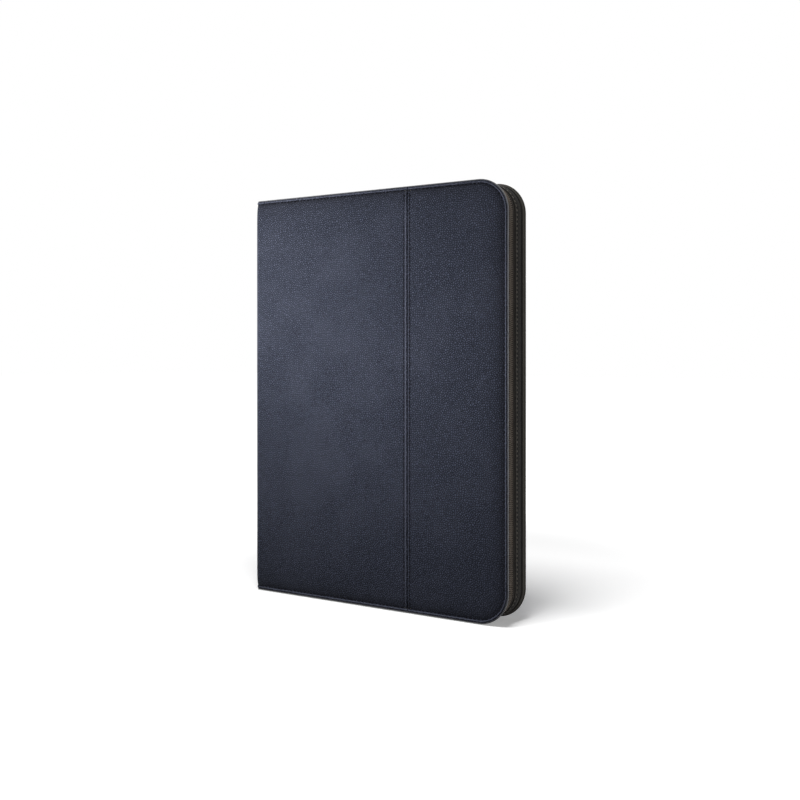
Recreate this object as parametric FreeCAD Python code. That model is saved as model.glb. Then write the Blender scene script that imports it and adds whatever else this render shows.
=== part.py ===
import FreeCAD, Part
import math
import os

from FreeCAD import Vector

# Millimetres. The closed case stands on its lower edges: +Z up, spine at -X, zip at +X,
# front cover towards -Y, origin under the middle of the case.

# Closed case
HEIGHT = 275.0
WIDTH = 200.0
DEPTH = 25.0
CORNER_R = 21.0
OUTER_PANEL_W = 73.0

# Layers of a cover, from the outside in
ROLL_PROUD = 0.4
SKIN_T = 0.8
BOARD_T = 2.0
LINING_T = 0.8
ROLL_W = 3.0
ROLL_BEVEL = 0.55
FOLD_GAP = 0.4

# Raised welt beside the fold seam
WELT_W = 3.2
WELT_SETBACK = 0.6

# Gusset wall and zip chain round the open edges
GUSSET_INSET = 2.2
GUSSET_T = 2.0
GUSSET_CHAMFER = 0.8
CHAIN_SETBACK = 7.5
CHAIN_W = 5.0
CHAIN_RECESS = 0.4
RAIL_W = 1.3
LIP_GAP = 1.6
TAPE_T = 0.6
TAPE_SPLIT = 1.0
TAPE_LAP = 5.0
TOOTH_PITCH = 5.2
TOOTH_ROOT = 1.6
TOOTH_TIP = 1.1
TOOTH_MESH = 0.6
TEETH_START = 24.0
FOLD_BARE = 7.0
STOP_L = 2.0
STOP_W = 1.7
STOP_T = 1.3

# Zip slider and its pull
SLIDER_L = 11.0
SLIDER_X = 12.0
SLIDER_CLEAR = 0.25
WING_T = 1.0
WING_CLIP = 1.4
GUARD_T = 0.5
POST_L = 2.0
POST_CLEAR = 0.15
BAIL_RISE = 0.95
BAIL_PIN_R = 0.5
EAR_T = 0.7
EAR_R = 0.85
EYE_R = 0.85
EYE_W = 2.4
PIN_CLEAR = 0.05
PULL_L = 20.0
PULL_W = 5.0
PULL_T = 1.0
PULL_NECK = 2.2
PULL_SLOT_L = 8.0
PULL_SLOT_W = 2.0

# Elastic corner straps and the tablet that they hold
TABLET_END_GAP = 16.5
TABLET_ZIP_SETBACK = 15.5
TABLET_SPINE_SETBACK = 18.5
TABLET_ROOM = 7.6
STRAP_W = 10.0
STRAP_T = 0.8
STRAP_FOOT = 3.0
STRAP_REACH = 20.0
STRAP_BEND = 1.2

# Rubber rest behind the keyboard
REST_W = 12.0
REST_H = 5.5
REST_FLOOR = 2.0
REST_LIP = 1.6
REST_GAP = 1.5

# Keyboard housing
KEYBOARD_ZIP_SETBACK = 8.0
KEYBOARD_END_GAP = 12.5
KEYBOARD_R = 6.0
BASE_H = 4.0
BASE_WALL = 1.6
BASE_FLOOR = 1.2
FRAME_T = 2.0
FRAME_CHAMFER = 0.8
TOP_BEZEL = 11.0
SIDE_BEZEL = 5.0
FRONT_BEZEL = 2.4
ADHESIVE_T = 0.3
ADHESIVE_INSET = 3.0

# Keys
ROW_PITCH = 14.0
FUNCTION_PITCH = 8.6
KEY_SPACE = 2.4
KEY_CLEAR = 0.35
KEY_H = 3.0
KEY_RISE = 1.9
KEY_TAPER = 0.55
KEY_CORNER = 1.1
ROW_UNITS = 15
SPACE_UNITS = 5.25

# Inside the keyboard
PLATE_T = 0.6
MEMBRANE_T = 0.4
DOME_SHEET_T = 0.4
SHEET_CLEAR = 0.3
BAY_CLEAR = 0.6
PCB_T = 1.0
PCB_L = 66.0
BATTERY_T = 2.6
BATTERY_L = 80.0
PORT_H = 2.4
PORT_L = 5.5
PORT_WALL = 0.35
PORT_TONGUE_T = 0.6
PORT_CLEAR = 0.15
SWITCH_W = 2.2
SWITCH_L = 2.8
SWITCH_RISE = 0.6
SWITCH_TRAVEL = 2.5
SWITCH_CLEAR = 0.25
SWITCH_SETBACK = 14.0
LIGHT_W = 1.5
LIGHT_PITCH = 4.0
LIGHT_COUNT = 3
LIGHT_CLEAR = 0.1

# Levels and lines worked out from those sizes
COVER_T = ROLL_PROUD + SKIN_T + BOARD_T + LINING_T
SPINE_R = COVER_T
FRONT_Y = -DEPTH / 2
BACK_Y = DEPTH / 2
FRONT_INSIDE_Y = FRONT_Y + COVER_T
BACK_INSIDE_Y = BACK_Y - COVER_T
ZIP_X = WIDTH / 2
SPINE_X = -WIDTH / 2
CORNER_X = ZIP_X - CORNER_R
HINGE_X = SPINE_X + SPINE_R
PANEL_X = HINGE_X + FOLD_GAP
FOLD_X = ZIP_X - OUTER_PANEL_W
INNER_END_X = FOLD_X - FOLD_GAP / 2
OUTER_START_X = FOLD_X + FOLD_GAP / 2
CHAIN_Y = FRONT_Y + CHAIN_SETBACK
CHAIN_OUT = GUSSET_INSET + CHAIN_RECESS
TAPE_OUT = GUSSET_INSET + GUSSET_T
TAPE_IN = TAPE_OUT + TAPE_T
GUSSET_Y = CHAIN_Y + CHAIN_W / 2 + LIP_GAP
CHAIN_X = PANEL_X + TEETH_START

KEYBOARD_X1 = ZIP_X - KEYBOARD_ZIP_SETBACK
KEYBOARD_X0 = KEYBOARD_X1 - FRONT_BEZEL - 5 * ROW_PITCH - FUNCTION_PITCH - TOP_BEZEL
KEYBOARD_Z0 = KEYBOARD_END_GAP
KEYBOARD_Z1 = HEIGHT - KEYBOARD_END_GAP
KEY_U = (KEYBOARD_Z1 - KEYBOARD_Z0 - 2 * SIDE_BEZEL) / ROW_UNITS
BASE_BACK_Y = BACK_INSIDE_Y - ADHESIVE_T
FLOOR_Y = BASE_BACK_Y - BASE_FLOOR
FRAME_BACK_Y = BASE_BACK_Y - BASE_H
FRAME_FACE_Y = FRAME_BACK_Y - FRAME_T
BAY_X0 = KEYBOARD_X0 + BASE_WALL + BAY_CLEAR
BAY_X1 = KEYBOARD_X0 + TOP_BEZEL - 2 * BAY_CLEAR
BAY_MID_X = (BAY_X0 + BAY_X1) / 2
PCB_FACE_Y = FLOOR_Y - PCB_T

SLIDER_MID_X = PANEL_X + SLIDER_X
WING_TOP_Z = HEIGHT - CHAIN_OUT + SLIDER_CLEAR + WING_T
PULL_AXIS_X = SLIDER_MID_X
PULL_AXIS_Z = WING_TOP_Z + BAIL_RISE

# Key widths in units, from the user's left to right
KEY_ROWS = {
    "key_row_function": [1.0] * ROW_UNITS,
    "key_row_number": [1.0] * 13 + [2.0],
    "key_row_upper": [1.5] + [1.0] * 12 + [1.5],
    "key_row_home": [1.75] + [1.0] * 11 + [2.25],
    "key_row_lower": [2.25] + [1.0] * 10 + [1.75, 1.0],
    "key_row_bottom": [1.25, 1.0, 1.25, 1.25, SPACE_UNITS] + [1.0] * 5,
}


# General shapes

def point(x, z):
    """A point in the upright plane through the origin."""
    return Vector(x, 0, z)


def closed_face(edges):
    """The flat face inside a loop of edges."""
    return Part.Face(Part.Wire(Part.__sortEdges__(edges)))


def lines(points, closed=True):
    """Straight edges through the points in order."""
    ends = points[1:] + points[:1] if closed else points[1:]
    return [Part.makeLine(a, b) for a, b in zip(points, ends)]


def between(face, y_low, y_high):
    """A face of the upright plane made solid from y_low to y_high."""
    moved = face.translated(Vector(0, y_low, 0))
    return moved.extrude(Vector(0, y_high - y_low, 0))


def block(x0, x1, y0, y1, z0, z1):
    """A box between two corners."""
    return Part.makeBox(x1 - x0, y1 - y0, z1 - z0, Vector(x0, y0, z0))


def rounded_face(x0, x1, z0, z1, radius):
    """A rectangle in the upright plane with round corners."""
    loop = Part.Wire(lines([point(x0, z0), point(x1, z0), point(x1, z1), point(x0, z1)]))
    solid = Part.Face(loop).extrude(Vector(0, 1, 0))
    uprights = [e for e in solid.Edges if e.BoundBox.YLength > 0.5]
    solid = solid.makeFillet(radius, uprights)
    return min(solid.Faces, key=lambda f: f.CenterOfMass.y)


# The open edge of the case: bottom, two round corners, zip side and top

def arc_at(centre_z, radius, turn):
    """A quarter arc at a zip-side corner; turn is -1 at the bottom and +1 at the top."""
    half = radius / math.sqrt(2)
    low = point(CORNER_X, centre_z + turn * radius)
    mid = point(CORNER_X + half, centre_z + turn * half)
    high = point(CORNER_X + radius, centre_z)
    return Part.Arc(low, mid, high).toShape()


def open_edge(inset, x_top, x_bottom):
    """The line that runs round the open edge at an inset from the outline."""
    radius = CORNER_R - inset
    side_x = ZIP_X - inset
    run = []
    if x_bottom < CORNER_X:
        run.append(Part.makeLine(point(x_bottom, inset), point(CORNER_X, inset)))
    run.append(arc_at(CORNER_R, radius, -1))
    run.append(Part.makeLine(point(side_x, CORNER_R), point(side_x, HEIGHT - CORNER_R)))
    run.append(arc_at(HEIGHT - CORNER_R, radius, 1))
    if x_top < CORNER_X:
        run.append(Part.makeLine(point(CORNER_X, HEIGHT - inset), point(x_top, HEIGHT - inset)))
    return run


def edge_band(out_inset, in_inset, x_top, x_bottom, y_low, y_high):
    """A band that follows the open edge between two insets."""
    caps = [
        Part.makeLine(point(x_bottom, out_inset), point(x_bottom, in_inset)),
        Part.makeLine(point(x_top, HEIGHT - out_inset), point(x_top, HEIGHT - in_inset)),
    ]
    loop = open_edge(out_inset, x_top, x_bottom) + open_edge(in_inset, x_top, x_bottom) + caps
    return between(closed_face(loop), y_low, y_high)


def edge_strips(out_inset, in_inset, x0, x1, y_low, y_high):
    """The straight top and bottom stretches of such a band, top first."""
    top = block(x0, x1, y_low, y_high, HEIGHT - in_inset, HEIGHT - out_inset)
    bottom = block(x0, x1, y_low, y_high, out_inset, in_inset)
    return [top, bottom]


def zip_panel(inset, x_low, y_low, y_high):
    """A panel with round zip-side corners and a straight edge at x_low."""
    cap = Part.makeLine(point(x_low, inset), point(x_low, HEIGHT - inset))
    return between(closed_face(open_edge(inset, x_low, x_low) + [cap]), y_low, y_high)


def inset_of(place):
    """How far a point lies inside the outline of the open edge."""
    nearest_z = min(place.z, HEIGHT - place.z)
    if place.x <= CORNER_X:
        return nearest_z
    if nearest_z >= CORNER_R:
        return ZIP_X - place.x
    return CORNER_R - math.hypot(place.x - CORNER_X, CORNER_R - nearest_z)


def rim_edges(solid, inset, y):
    """The edges of a solid that run along the open edge at an inset, at one y level."""
    rim = []
    for edge in solid.Edges:
        middle = edge.valueAt((edge.FirstParameter + edge.LastParameter) / 2)
        along = edge.BoundBox.YLength < 1e-6 and abs(middle.y - y) < 1e-6
        if along and abs(inset_of(middle) - inset) < 1e-4:
            rim.append(edge)
    return rim


def rolled_edge(solid, outside_y, inside_y):
    """A cover's edge band rolled over in three facets outside and eased inside."""
    towards_inside = 1 if inside_y > outside_y else -1
    eased = solid.makeChamfer(ROLL_BEVEL, rim_edges(solid, 0, inside_y))
    blunt = eased.makeChamfer(2 * ROLL_BEVEL, rim_edges(eased, 0, outside_y))
    face_line = rim_edges(blunt, 2 * ROLL_BEVEL, outside_y)
    side_line = rim_edges(blunt, 0, outside_y + towards_inside * 2 * ROLL_BEVEL)
    return blunt.makeChamfer(ROLL_BEVEL / 2, face_line + side_line)


# Covers

def cover_layers(name, outside_y, inward, solid_between):
    """Skin, board and lining of one cover, stacked inwards from its rolled edge's face."""
    level = outside_y + inward * ROLL_PROUD
    layers = {}
    for layer, thickness in (("skin", SKIN_T), ("board", BOARD_T), ("lining", LINING_T)):
        next_level = level + inward * thickness
        layers[name + "_" + layer] = solid_between(min(level, next_level), max(level, next_level))
        level = next_level
    return layers


def back_cover():
    """The back cover and its rolled edge."""
    nodes = cover_layers("back", BACK_Y, -1, lambda y0, y1: zip_panel(ROLL_W, PANEL_X, y0, y1))
    roll = edge_band(0, ROLL_W, PANEL_X, PANEL_X, BACK_INSIDE_Y, BACK_Y)
    nodes["back_binding"] = rolled_edge(roll, BACK_Y, BACK_INSIDE_Y)
    return nodes


def front_inner_panel():
    """The half of the front cover beside the spine, with the welt at its fold."""
    nodes = cover_layers(
        "front_inner", FRONT_Y, 1,
        lambda y0, y1: block(PANEL_X, INNER_END_X, y0, y1, ROLL_W, HEIGHT - ROLL_W))
    rolls = edge_strips(0, ROLL_W, PANEL_X, INNER_END_X, FRONT_Y, FRONT_INSIDE_Y)
    nodes["front_inner_binding"] = Part.Compound(
        [rolled_edge(roll, FRONT_Y, FRONT_INSIDE_Y) for roll in rolls])
    nodes["fold_welt"] = fold_welt()
    return nodes


def fold_welt():
    """A low half-round bead along the fold seam."""
    skin_y = FRONT_Y + ROLL_PROUD
    x1 = INNER_END_X - WELT_SETBACK
    x0 = x1 - WELT_W
    start = Vector(x0, skin_y, ROLL_W)
    crest = Vector((x0 + x1) / 2, FRONT_Y, ROLL_W)
    end = Vector(x1, skin_y, ROLL_W)
    section = closed_face([Part.Arc(start, crest, end).toShape(), Part.makeLine(end, start)])
    return section.extrude(Vector(0, 0, HEIGHT - 2 * ROLL_W))


def front_outer_panel():
    """The half of the front cover beside the zip."""
    nodes = cover_layers(
        "front_outer", FRONT_Y, 1, lambda y0, y1: zip_panel(ROLL_W, OUTER_START_X, y0, y1))
    roll = edge_band(0, ROLL_W, OUTER_START_X, OUTER_START_X, FRONT_Y, FRONT_INSIDE_Y)
    nodes["front_outer_binding"] = rolled_edge(roll, FRONT_Y, FRONT_INSIDE_Y)
    return nodes


# Spine

def spine_line(inset, z):
    """The spine's section line at an inset, from the front fold to the back fold."""
    radius = SPINE_R - inset
    half = radius / math.sqrt(2)
    side_x = SPINE_X + inset
    front_y = FRONT_Y + SPINE_R
    back_y = BACK_Y - SPINE_R
    if radius < 1e-6:
        return [Part.makeLine(Vector(HINGE_X, front_y, z), Vector(HINGE_X, back_y, z))]
    front = Part.Arc(
        Vector(HINGE_X, front_y - radius, z),
        Vector(HINGE_X - half, front_y - half, z),
        Vector(side_x, front_y, z))
    back = Part.Arc(
        Vector(side_x, back_y, z),
        Vector(HINGE_X - half, back_y + half, z),
        Vector(HINGE_X, back_y + radius, z))
    flat = Part.makeLine(Vector(side_x, front_y, z), Vector(side_x, back_y, z))
    return [front.toShape(), flat, back.toShape()]


def spine_shell(out_inset, in_inset, z0, z1):
    """A bent strip of the spine between two insets."""
    caps = []
    for y, side in ((FRONT_Y, 1), (BACK_Y, -1)):
        start = Vector(HINGE_X, y + side * out_inset, z0)
        caps.append(Part.makeLine(start, Vector(HINGE_X, y + side * in_inset, z0)))
    loop = spine_line(out_inset, z0) + spine_line(in_inset, z0) + caps
    return closed_face(loop).extrude(Vector(0, 0, z1 - z0))


def spine():
    """The spine: a bent skin with a board and a lining behind its flat middle."""
    skin_in = ROLL_PROUD + SKIN_T
    board_x = SPINE_X + skin_in
    lining_x = board_x + BOARD_T
    z0 = ROLL_W
    z1 = HEIGHT - ROLL_W
    ends = [(0, ROLL_W), (HEIGHT - ROLL_W, HEIGHT)]
    return {
        "spine_skin": spine_shell(ROLL_PROUD, skin_in, z0, z1),
        "spine_board": block(board_x, lining_x, FRONT_INSIDE_Y, BACK_INSIDE_Y, z0, z1),
        "spine_lining": block(lining_x, HINGE_X, FRONT_INSIDE_Y, BACK_INSIDE_Y, z0, z1),
        "spine_binding": Part.Compound([spine_shell(0, COVER_T, low, high) for low, high in ends]),
    }


# Gusset, zip tapes and interlocking chain

def gusset():
    """The side wall sewn to the back cover."""
    wall = edge_band(GUSSET_INSET, TAPE_OUT, PANEL_X, PANEL_X, GUSSET_Y, BACK_INSIDE_Y)
    return wall.makeChamfer(GUSSET_CHAMFER, rim_edges(wall, GUSSET_INSET, GUSSET_Y))


def tooth(x, z, tangent, outward, root_y, tip_y):
    """One tapered tooth from its rail towards the other half of the chain."""
    foot = Vector(x, 0, z) - outward * (TAPE_OUT - CHAIN_OUT)
    corners = [
        foot - tangent * (TOOTH_ROOT / 2) + Vector(0, root_y, 0),
        foot + tangent * (TOOTH_ROOT / 2) + Vector(0, root_y, 0),
        foot + tangent * (TOOTH_TIP / 2) + Vector(0, tip_y, 0),
        foot - tangent * (TOOTH_TIP / 2) + Vector(0, tip_y, 0),
    ]
    return closed_face(lines(corners)).extrude(outward * (TAPE_OUT - CHAIN_OUT))


def chain_places(x_start, phase):
    """Tooth places along the open edge: top, corner, side, corner and bottom, with x_start at both ends."""
    radius = CORNER_R - CHAIN_OUT
    straight = CORNER_X - x_start
    quarter = radius * math.pi / 2
    side = HEIGHT - 2 * CORNER_R
    total = 2 * straight + 2 * quarter + side
    count = int((total - phase * TOOTH_PITCH) / TOOTH_PITCH)
    places = []
    for index in range(count):
        s = (index + 0.5 + phase) * TOOTH_PITCH
        places.append(chain_place(s, x_start, straight, quarter, side, radius))
    return places


def chain_place(s, x_start, straight, quarter, side, radius):
    """The place, direction, outward side and stretch of the chain at a run length s."""
    if s <= straight:
        return (x_start + s, HEIGHT - CHAIN_OUT, Vector(1, 0, 0), Vector(0, 0, 1), "top")
    s -= straight
    if s <= quarter:
        turn = s / radius
        outward = Vector(math.sin(turn), 0, math.cos(turn))
        place = Vector(CORNER_X, 0, HEIGHT - CORNER_R) + outward * radius
        return (place.x, place.z, Vector(outward.z, 0, -outward.x), outward, "side")
    s -= quarter
    if s <= side:
        z = HEIGHT - CORNER_R - s
        return (ZIP_X - CHAIN_OUT, z, Vector(0, 0, -1), Vector(1, 0, 0), "side")
    s -= side
    if s <= quarter:
        turn = s / radius
        outward = Vector(math.cos(turn), 0, -math.sin(turn))
        place = Vector(CORNER_X, 0, CORNER_R) + outward * radius
        return (place.x, place.z, Vector(outward.z, 0, -outward.x), outward, "side")
    s -= quarter
    return (CORNER_X - s, CHAIN_OUT, Vector(-1, 0, 0), Vector(0, 0, -1), "bottom")


def chain_half(rail, places, towards):
    """A rail of the chain fused with its teeth; towards is +1 for teeth that point to +Y."""
    root_y = CHAIN_Y - towards * (CHAIN_W / 2 - RAIL_W)
    tip_y = CHAIN_Y + towards * TOOTH_MESH / 2
    teeth = [tooth(x, z, along, out, root_y, tip_y) for x, z, along, out, stretch in places]
    return rail.multiFuse(teeth).removeSplitter()


def rail_levels(towards):
    """The y levels of a rail whose teeth point along towards."""
    outer = CHAIN_Y - towards * CHAIN_W / 2
    inner = outer + towards * RAIL_W
    return min(outer, inner), max(outer, inner)


def zip_back():
    """The half of the zip on the gusset: tape, teeth and end stops."""
    y0, y1 = rail_levels(-1)
    places = chain_places(CHAIN_X, 0.0)
    top_rail = edge_strips(CHAIN_OUT, TAPE_OUT, CHAIN_X, CORNER_X, y0, y1)[0]
    rest_rail = edge_band(CHAIN_OUT, TAPE_OUT, CORNER_X, CHAIN_X, y0, y1)
    split = TAPE_SPLIT / 2
    return {
        "zip_tape_back": edge_band(
            TAPE_OUT, TAPE_IN, PANEL_X, PANEL_X, CHAIN_Y + split, GUSSET_Y + TAPE_LAP),
        "zip_teeth_back_top": chain_half(top_rail, [p for p in places if p[4] == "top"], -1),
        "zip_teeth_back": chain_half(rest_rail, [p for p in places if p[4] != "top"], -1),
        "zip_stops_back": end_stops(CHAIN_Y + split, CHAIN_Y + split + STOP_W),
    }


def zip_front():
    """The half of the zip on the front cover, parted at the fold."""
    y0, y1 = rail_levels(1)
    places = chain_places(CHAIN_X, 0.5)
    margin = TOOTH_ROOT / 2
    inner = [p for p in places if p[0] < INNER_END_X - margin]
    outer = [p for p in places if p[0] > OUTER_START_X + FOLD_BARE]
    inner_rails = edge_strips(CHAIN_OUT, TAPE_OUT, CHAIN_X, INNER_END_X, y0, y1)
    outer_top = edge_strips(CHAIN_OUT, TAPE_OUT, OUTER_START_X, CORNER_X, y0, y1)[0]
    outer_rest = edge_band(CHAIN_OUT, TAPE_OUT, CORNER_X, OUTER_START_X, y0, y1)
    tape_y = CHAIN_Y - TAPE_SPLIT / 2
    tapes = edge_strips(TAPE_OUT, TAPE_IN, PANEL_X, INNER_END_X, FRONT_INSIDE_Y, tape_y)
    return {
        "zip_tape_front_inner": Part.Compound(tapes),
        "zip_tape_front_outer": edge_band(
            TAPE_OUT, TAPE_IN, OUTER_START_X, OUTER_START_X, FRONT_INSIDE_Y, tape_y),
        "zip_teeth_front_inner_top": chain_half(
            inner_rails[0], [p for p in inner if p[4] == "top"], 1),
        "zip_teeth_front_inner": chain_half(
            inner_rails[1], [p for p in inner if p[4] == "bottom"], 1),
        "zip_teeth_front_outer_top": chain_half(
            outer_top, [p for p in outer if p[4] == "top"], 1),
        "zip_teeth_front_outer": chain_half(
            outer_rest, [p for p in outer if p[4] != "top"], 1),
        "zip_stops_front": end_stops(tape_y - STOP_W, tape_y),
    }


def end_stops(y0, y1):
    """A stop at each end of one tape: past the slider at the top, beside the teeth at the bottom."""
    top_x = SLIDER_MID_X - SLIDER_L / 2 - SLIDER_CLEAR - STOP_L
    low_x = CHAIN_X - TOOTH_ROOT - STOP_L
    z_top = HEIGHT - TAPE_OUT
    return Part.Compound([
        block(top_x, top_x + STOP_L, y0, y1, z_top, z_top + STOP_T),
        block(low_x, low_x + STOP_L, y0, y1, TAPE_OUT - STOP_T, TAPE_OUT),
    ])


# Slider and pull

def wing(z0):
    """A slider wing: a flat plate with clipped corners above or below the chain."""
    half_w = CHAIN_W / 2 + SLIDER_CLEAR + GUARD_T
    plate = block(
        SLIDER_MID_X - SLIDER_L / 2, SLIDER_MID_X + SLIDER_L / 2,
        CHAIN_Y - half_w, CHAIN_Y + half_w, z0, z0 + WING_T)
    corners = [e for e in plate.Edges if e.BoundBox.ZLength > WING_T / 2]
    return plate.makeChamfer(WING_CLIP, corners)


def ear(y0):
    """One ear of the bail that carries the pull's pin."""
    upright = block(
        PULL_AXIS_X - EAR_R, PULL_AXIS_X + EAR_R, y0, y0 + EAR_T, WING_TOP_Z, PULL_AXIS_Z)
    crown = Part.makeCylinder(
        EAR_R, EAR_T, Vector(PULL_AXIS_X, y0, PULL_AXIS_Z), Vector(0, 1, 0))
    return upright.fuse(crown)


def zip_slider():
    """The slider: two wings joined by a post between the tapes, guards, and a bail with its pin."""
    lower_z = HEIGHT - TAPE_IN - SLIDER_CLEAR - WING_T
    upper_z = WING_TOP_Z - WING_T
    guard_z = HEIGHT - TAPE_OUT + SLIDER_CLEAR
    half_chain = CHAIN_W / 2 + SLIDER_CLEAR
    guard_x = SLIDER_L / 2 - WING_CLIP
    lead_x = SLIDER_MID_X - SLIDER_L / 2 + GUARD_T
    half_post = TAPE_SPLIT / 2 - POST_CLEAR
    pieces = [wing(upper_z)]
    for y0 in (CHAIN_Y - half_chain - GUARD_T, CHAIN_Y + half_chain):
        pieces.append(block(
            SLIDER_MID_X - guard_x, SLIDER_MID_X + guard_x, y0, y0 + GUARD_T, guard_z, upper_z))
    pieces.append(block(
        lead_x, lead_x + POST_L, CHAIN_Y - half_post, CHAIN_Y + half_post,
        lower_z + WING_T, upper_z))
    ear_y = EYE_W / 2 + SLIDER_CLEAR
    for y0 in (CHAIN_Y - ear_y - EAR_T, CHAIN_Y + ear_y):
        pieces.append(ear(y0))
    pieces.append(Part.makeCylinder(
        BAIL_PIN_R, 2 * ear_y, Vector(PULL_AXIS_X, CHAIN_Y - ear_y, PULL_AXIS_Z),
        Vector(0, 1, 0)))
    return wing(lower_z).multiFuse(pieces).removeSplitter()


def zip_pull():
    """The pull: an eye on the slider's pin, a neck, and a tab with a slot."""
    eye = Part.makeCylinder(
        EYE_R, EYE_W, Vector(PULL_AXIS_X, CHAIN_Y - EYE_W / 2, PULL_AXIS_Z), Vector(0, 1, 0))
    z0 = PULL_AXIS_Z - PULL_T / 2
    z1 = PULL_AXIS_Z + PULL_T / 2
    neck = block(
        PULL_AXIS_X, PULL_AXIS_X + PULL_NECK + PULL_W / 2,
        CHAIN_Y - EYE_W / 2, CHAIN_Y + EYE_W / 2, z0, z1)
    tab = block(
        PULL_AXIS_X + PULL_NECK, PULL_AXIS_X + PULL_L,
        CHAIN_Y - PULL_W / 2, CHAIN_Y + PULL_W / 2, z0, z1)
    uprights = [e for e in tab.Edges if e.BoundBox.ZLength > PULL_T / 2]
    tab = tab.makeChamfer(PULL_W / 4, uprights)
    slot_x = PULL_AXIS_X + PULL_L - PULL_W / 2 - PULL_SLOT_L
    slot = block(
        slot_x, slot_x + PULL_SLOT_L,
        CHAIN_Y - PULL_SLOT_W / 2, CHAIN_Y + PULL_SLOT_W / 2, z0 - PULL_T, z1 + PULL_T)
    bore = Part.makeCylinder(
        BAIL_PIN_R + PIN_CLEAR, 2 * EYE_W,
        Vector(PULL_AXIS_X, CHAIN_Y - EYE_W, PULL_AXIS_Z), Vector(0, 1, 0))
    return eye.multiFuse([neck, tab]).cut(slot).cut(bore).removeSplitter()


# What holds the tablet

def corner_strap(corner_x, corner_z, in_x, in_z):
    """An elastic strap across one tablet corner, arched over the tablet's thickness."""
    reach = STRAP_REACH
    foot = reach + STRAP_T + STRAP_FOOT
    rise = TABLET_ROOM
    half = [(foot, 0), (reach, 0), (reach, rise)]
    back = [(reach + STRAP_T, rise + STRAP_T), (reach + STRAP_T, STRAP_T), (foot, STRAP_T)]
    inner = [Vector(u, w, 0) for u, w in half] + [Vector(-u, w, 0) for u, w in reversed(half)]
    outer = [Vector(-u, w, 0) for u, w in reversed(back)] + [Vector(u, w, 0) for u, w in back]
    band = closed_face(lines(inner + outer)).extrude(Vector(0, 0, STRAP_W))
    for bend_x, bend_y, radius in (
            (reach, rise, STRAP_BEND),
            (reach + STRAP_T, rise + STRAP_T, STRAP_BEND + STRAP_T)):
        bends = [e for e in band.Edges
                 if e.BoundBox.ZLength > STRAP_W / 2
                 and abs(e.CenterOfMass.y - bend_y) < 1e-6
                 and abs(abs(e.CenterOfMass.x) - bend_x) < 1e-6]
        band = band.makeFillet(radius, bends)
    band.translate(Vector(0, 0, -STRAP_W / 2))
    turn = 45 if in_x * in_z > 0 else -45
    band.rotate(Vector(0, 0, 0), Vector(0, 1, 0), turn)
    half_w = STRAP_W / 2 / math.sqrt(2)
    offset = STRAP_REACH / math.sqrt(2) - half_w
    band.translate(Vector(corner_x + in_x * offset, FRONT_INSIDE_Y, corner_z + in_z * offset))
    return band


def corner_straps():
    """One strap at each corner of the tablet."""
    right = ZIP_X - TABLET_ZIP_SETBACK
    left = SPINE_X + TABLET_SPINE_SETBACK
    low = TABLET_END_GAP
    high = HEIGHT - TABLET_END_GAP
    return {
        "strap_spine_top": corner_strap(left, high, 1, -1),
        "strap_spine_bottom": corner_strap(left, low, 1, 1),
        "strap_zip_top": corner_strap(right, high, -1, -1),
        "strap_zip_bottom": corner_strap(right, low, -1, 1),
    }


def tablet_rest():
    """A rubber channel behind the keyboard that takes the tablet's lower edge."""
    x1 = KEYBOARD_X0 - REST_GAP
    x0 = x1 - REST_W
    base_y = BACK_INSIDE_Y
    top_y = base_y - REST_H
    floor_y = base_y - REST_FLOOR
    z0 = TABLET_END_GAP
    section = [
        Vector(x0, base_y, z0), Vector(x1, base_y, z0),
        Vector(x1 - REST_LIP / 2, top_y, z0), Vector(x1 - REST_LIP, top_y, z0),
        Vector(x1 - REST_LIP, floor_y, z0), Vector(x0 + REST_LIP, floor_y, z0),
        Vector(x0 + REST_LIP, top_y, z0), Vector(x0 + REST_LIP / 2, top_y, z0),
    ]
    return closed_face(lines(section)).extrude(Vector(0, 0, HEIGHT - 2 * TABLET_END_GAP))


# Keyboard

def row_lines():
    """Each key row's name with its near and far x."""
    x = KEYBOARD_X0 + TOP_BEZEL
    places = {}
    for name in KEY_ROWS:
        pitch = FUNCTION_PITCH if name == "key_row_function" else ROW_PITCH
        places[name] = (x, x + pitch)
        x += pitch
    return places


def key_cells():
    """Every key as (row name, units, x0, x1, z0, z1), without the space round it."""
    cells = []
    margin = KEY_SPACE / 2
    for name, (x0, x1) in row_lines().items():
        z = KEYBOARD_Z0 + SIDE_BEZEL
        for units in KEY_ROWS[name]:
            z_next = z + units * KEY_U
            cells.append((name, units, x0 + margin, x1 - margin, z + margin, z_next - margin))
            z = z_next
    return cells


def key_corners(x0, x1, z0, z1, y):
    """The corners of a key's outline, clipped, at one level."""
    clip = KEY_CORNER
    return [
        Vector(x0 + clip, y, z0), Vector(x1 - clip, y, z0), Vector(x1, y, z0 + clip),
        Vector(x1, y, z1 - clip), Vector(x1 - clip, y, z1), Vector(x0 + clip, y, z1),
        Vector(x0, y, z1 - clip), Vector(x0, y, z0 + clip),
    ]


def keycap(x0, x1, z0, z1):
    """A keycap that tapers towards its top."""
    top_y = FRAME_FACE_Y - KEY_RISE
    t = KEY_TAPER
    foot = key_corners(x0, x1, z0, z1, top_y + KEY_H)
    top = key_corners(x0 + t, x1 - t, z0 + t, z1 - t, top_y)
    faces = [closed_face(lines(foot)), closed_face(lines(top))]
    for index, corner in enumerate(foot):
        side = [corner, foot[index - 1], top[index - 1], top[index]]
        faces.append(closed_face(lines(side)))
    return Part.makeSolid(Part.makeShell(faces))


def keys():
    """Keycaps grouped by row, with the space bar by itself."""
    groups = {name: [] for name in KEY_ROWS}
    groups["space_bar"] = []
    for name, units, x0, x1, z0, z1 in key_cells():
        group = "space_bar" if units == SPACE_UNITS else name
        groups[group].append(keycap(x0, x1, z0, z1))
    return {name: Part.Compound(caps) for name, caps in groups.items()}


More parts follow.
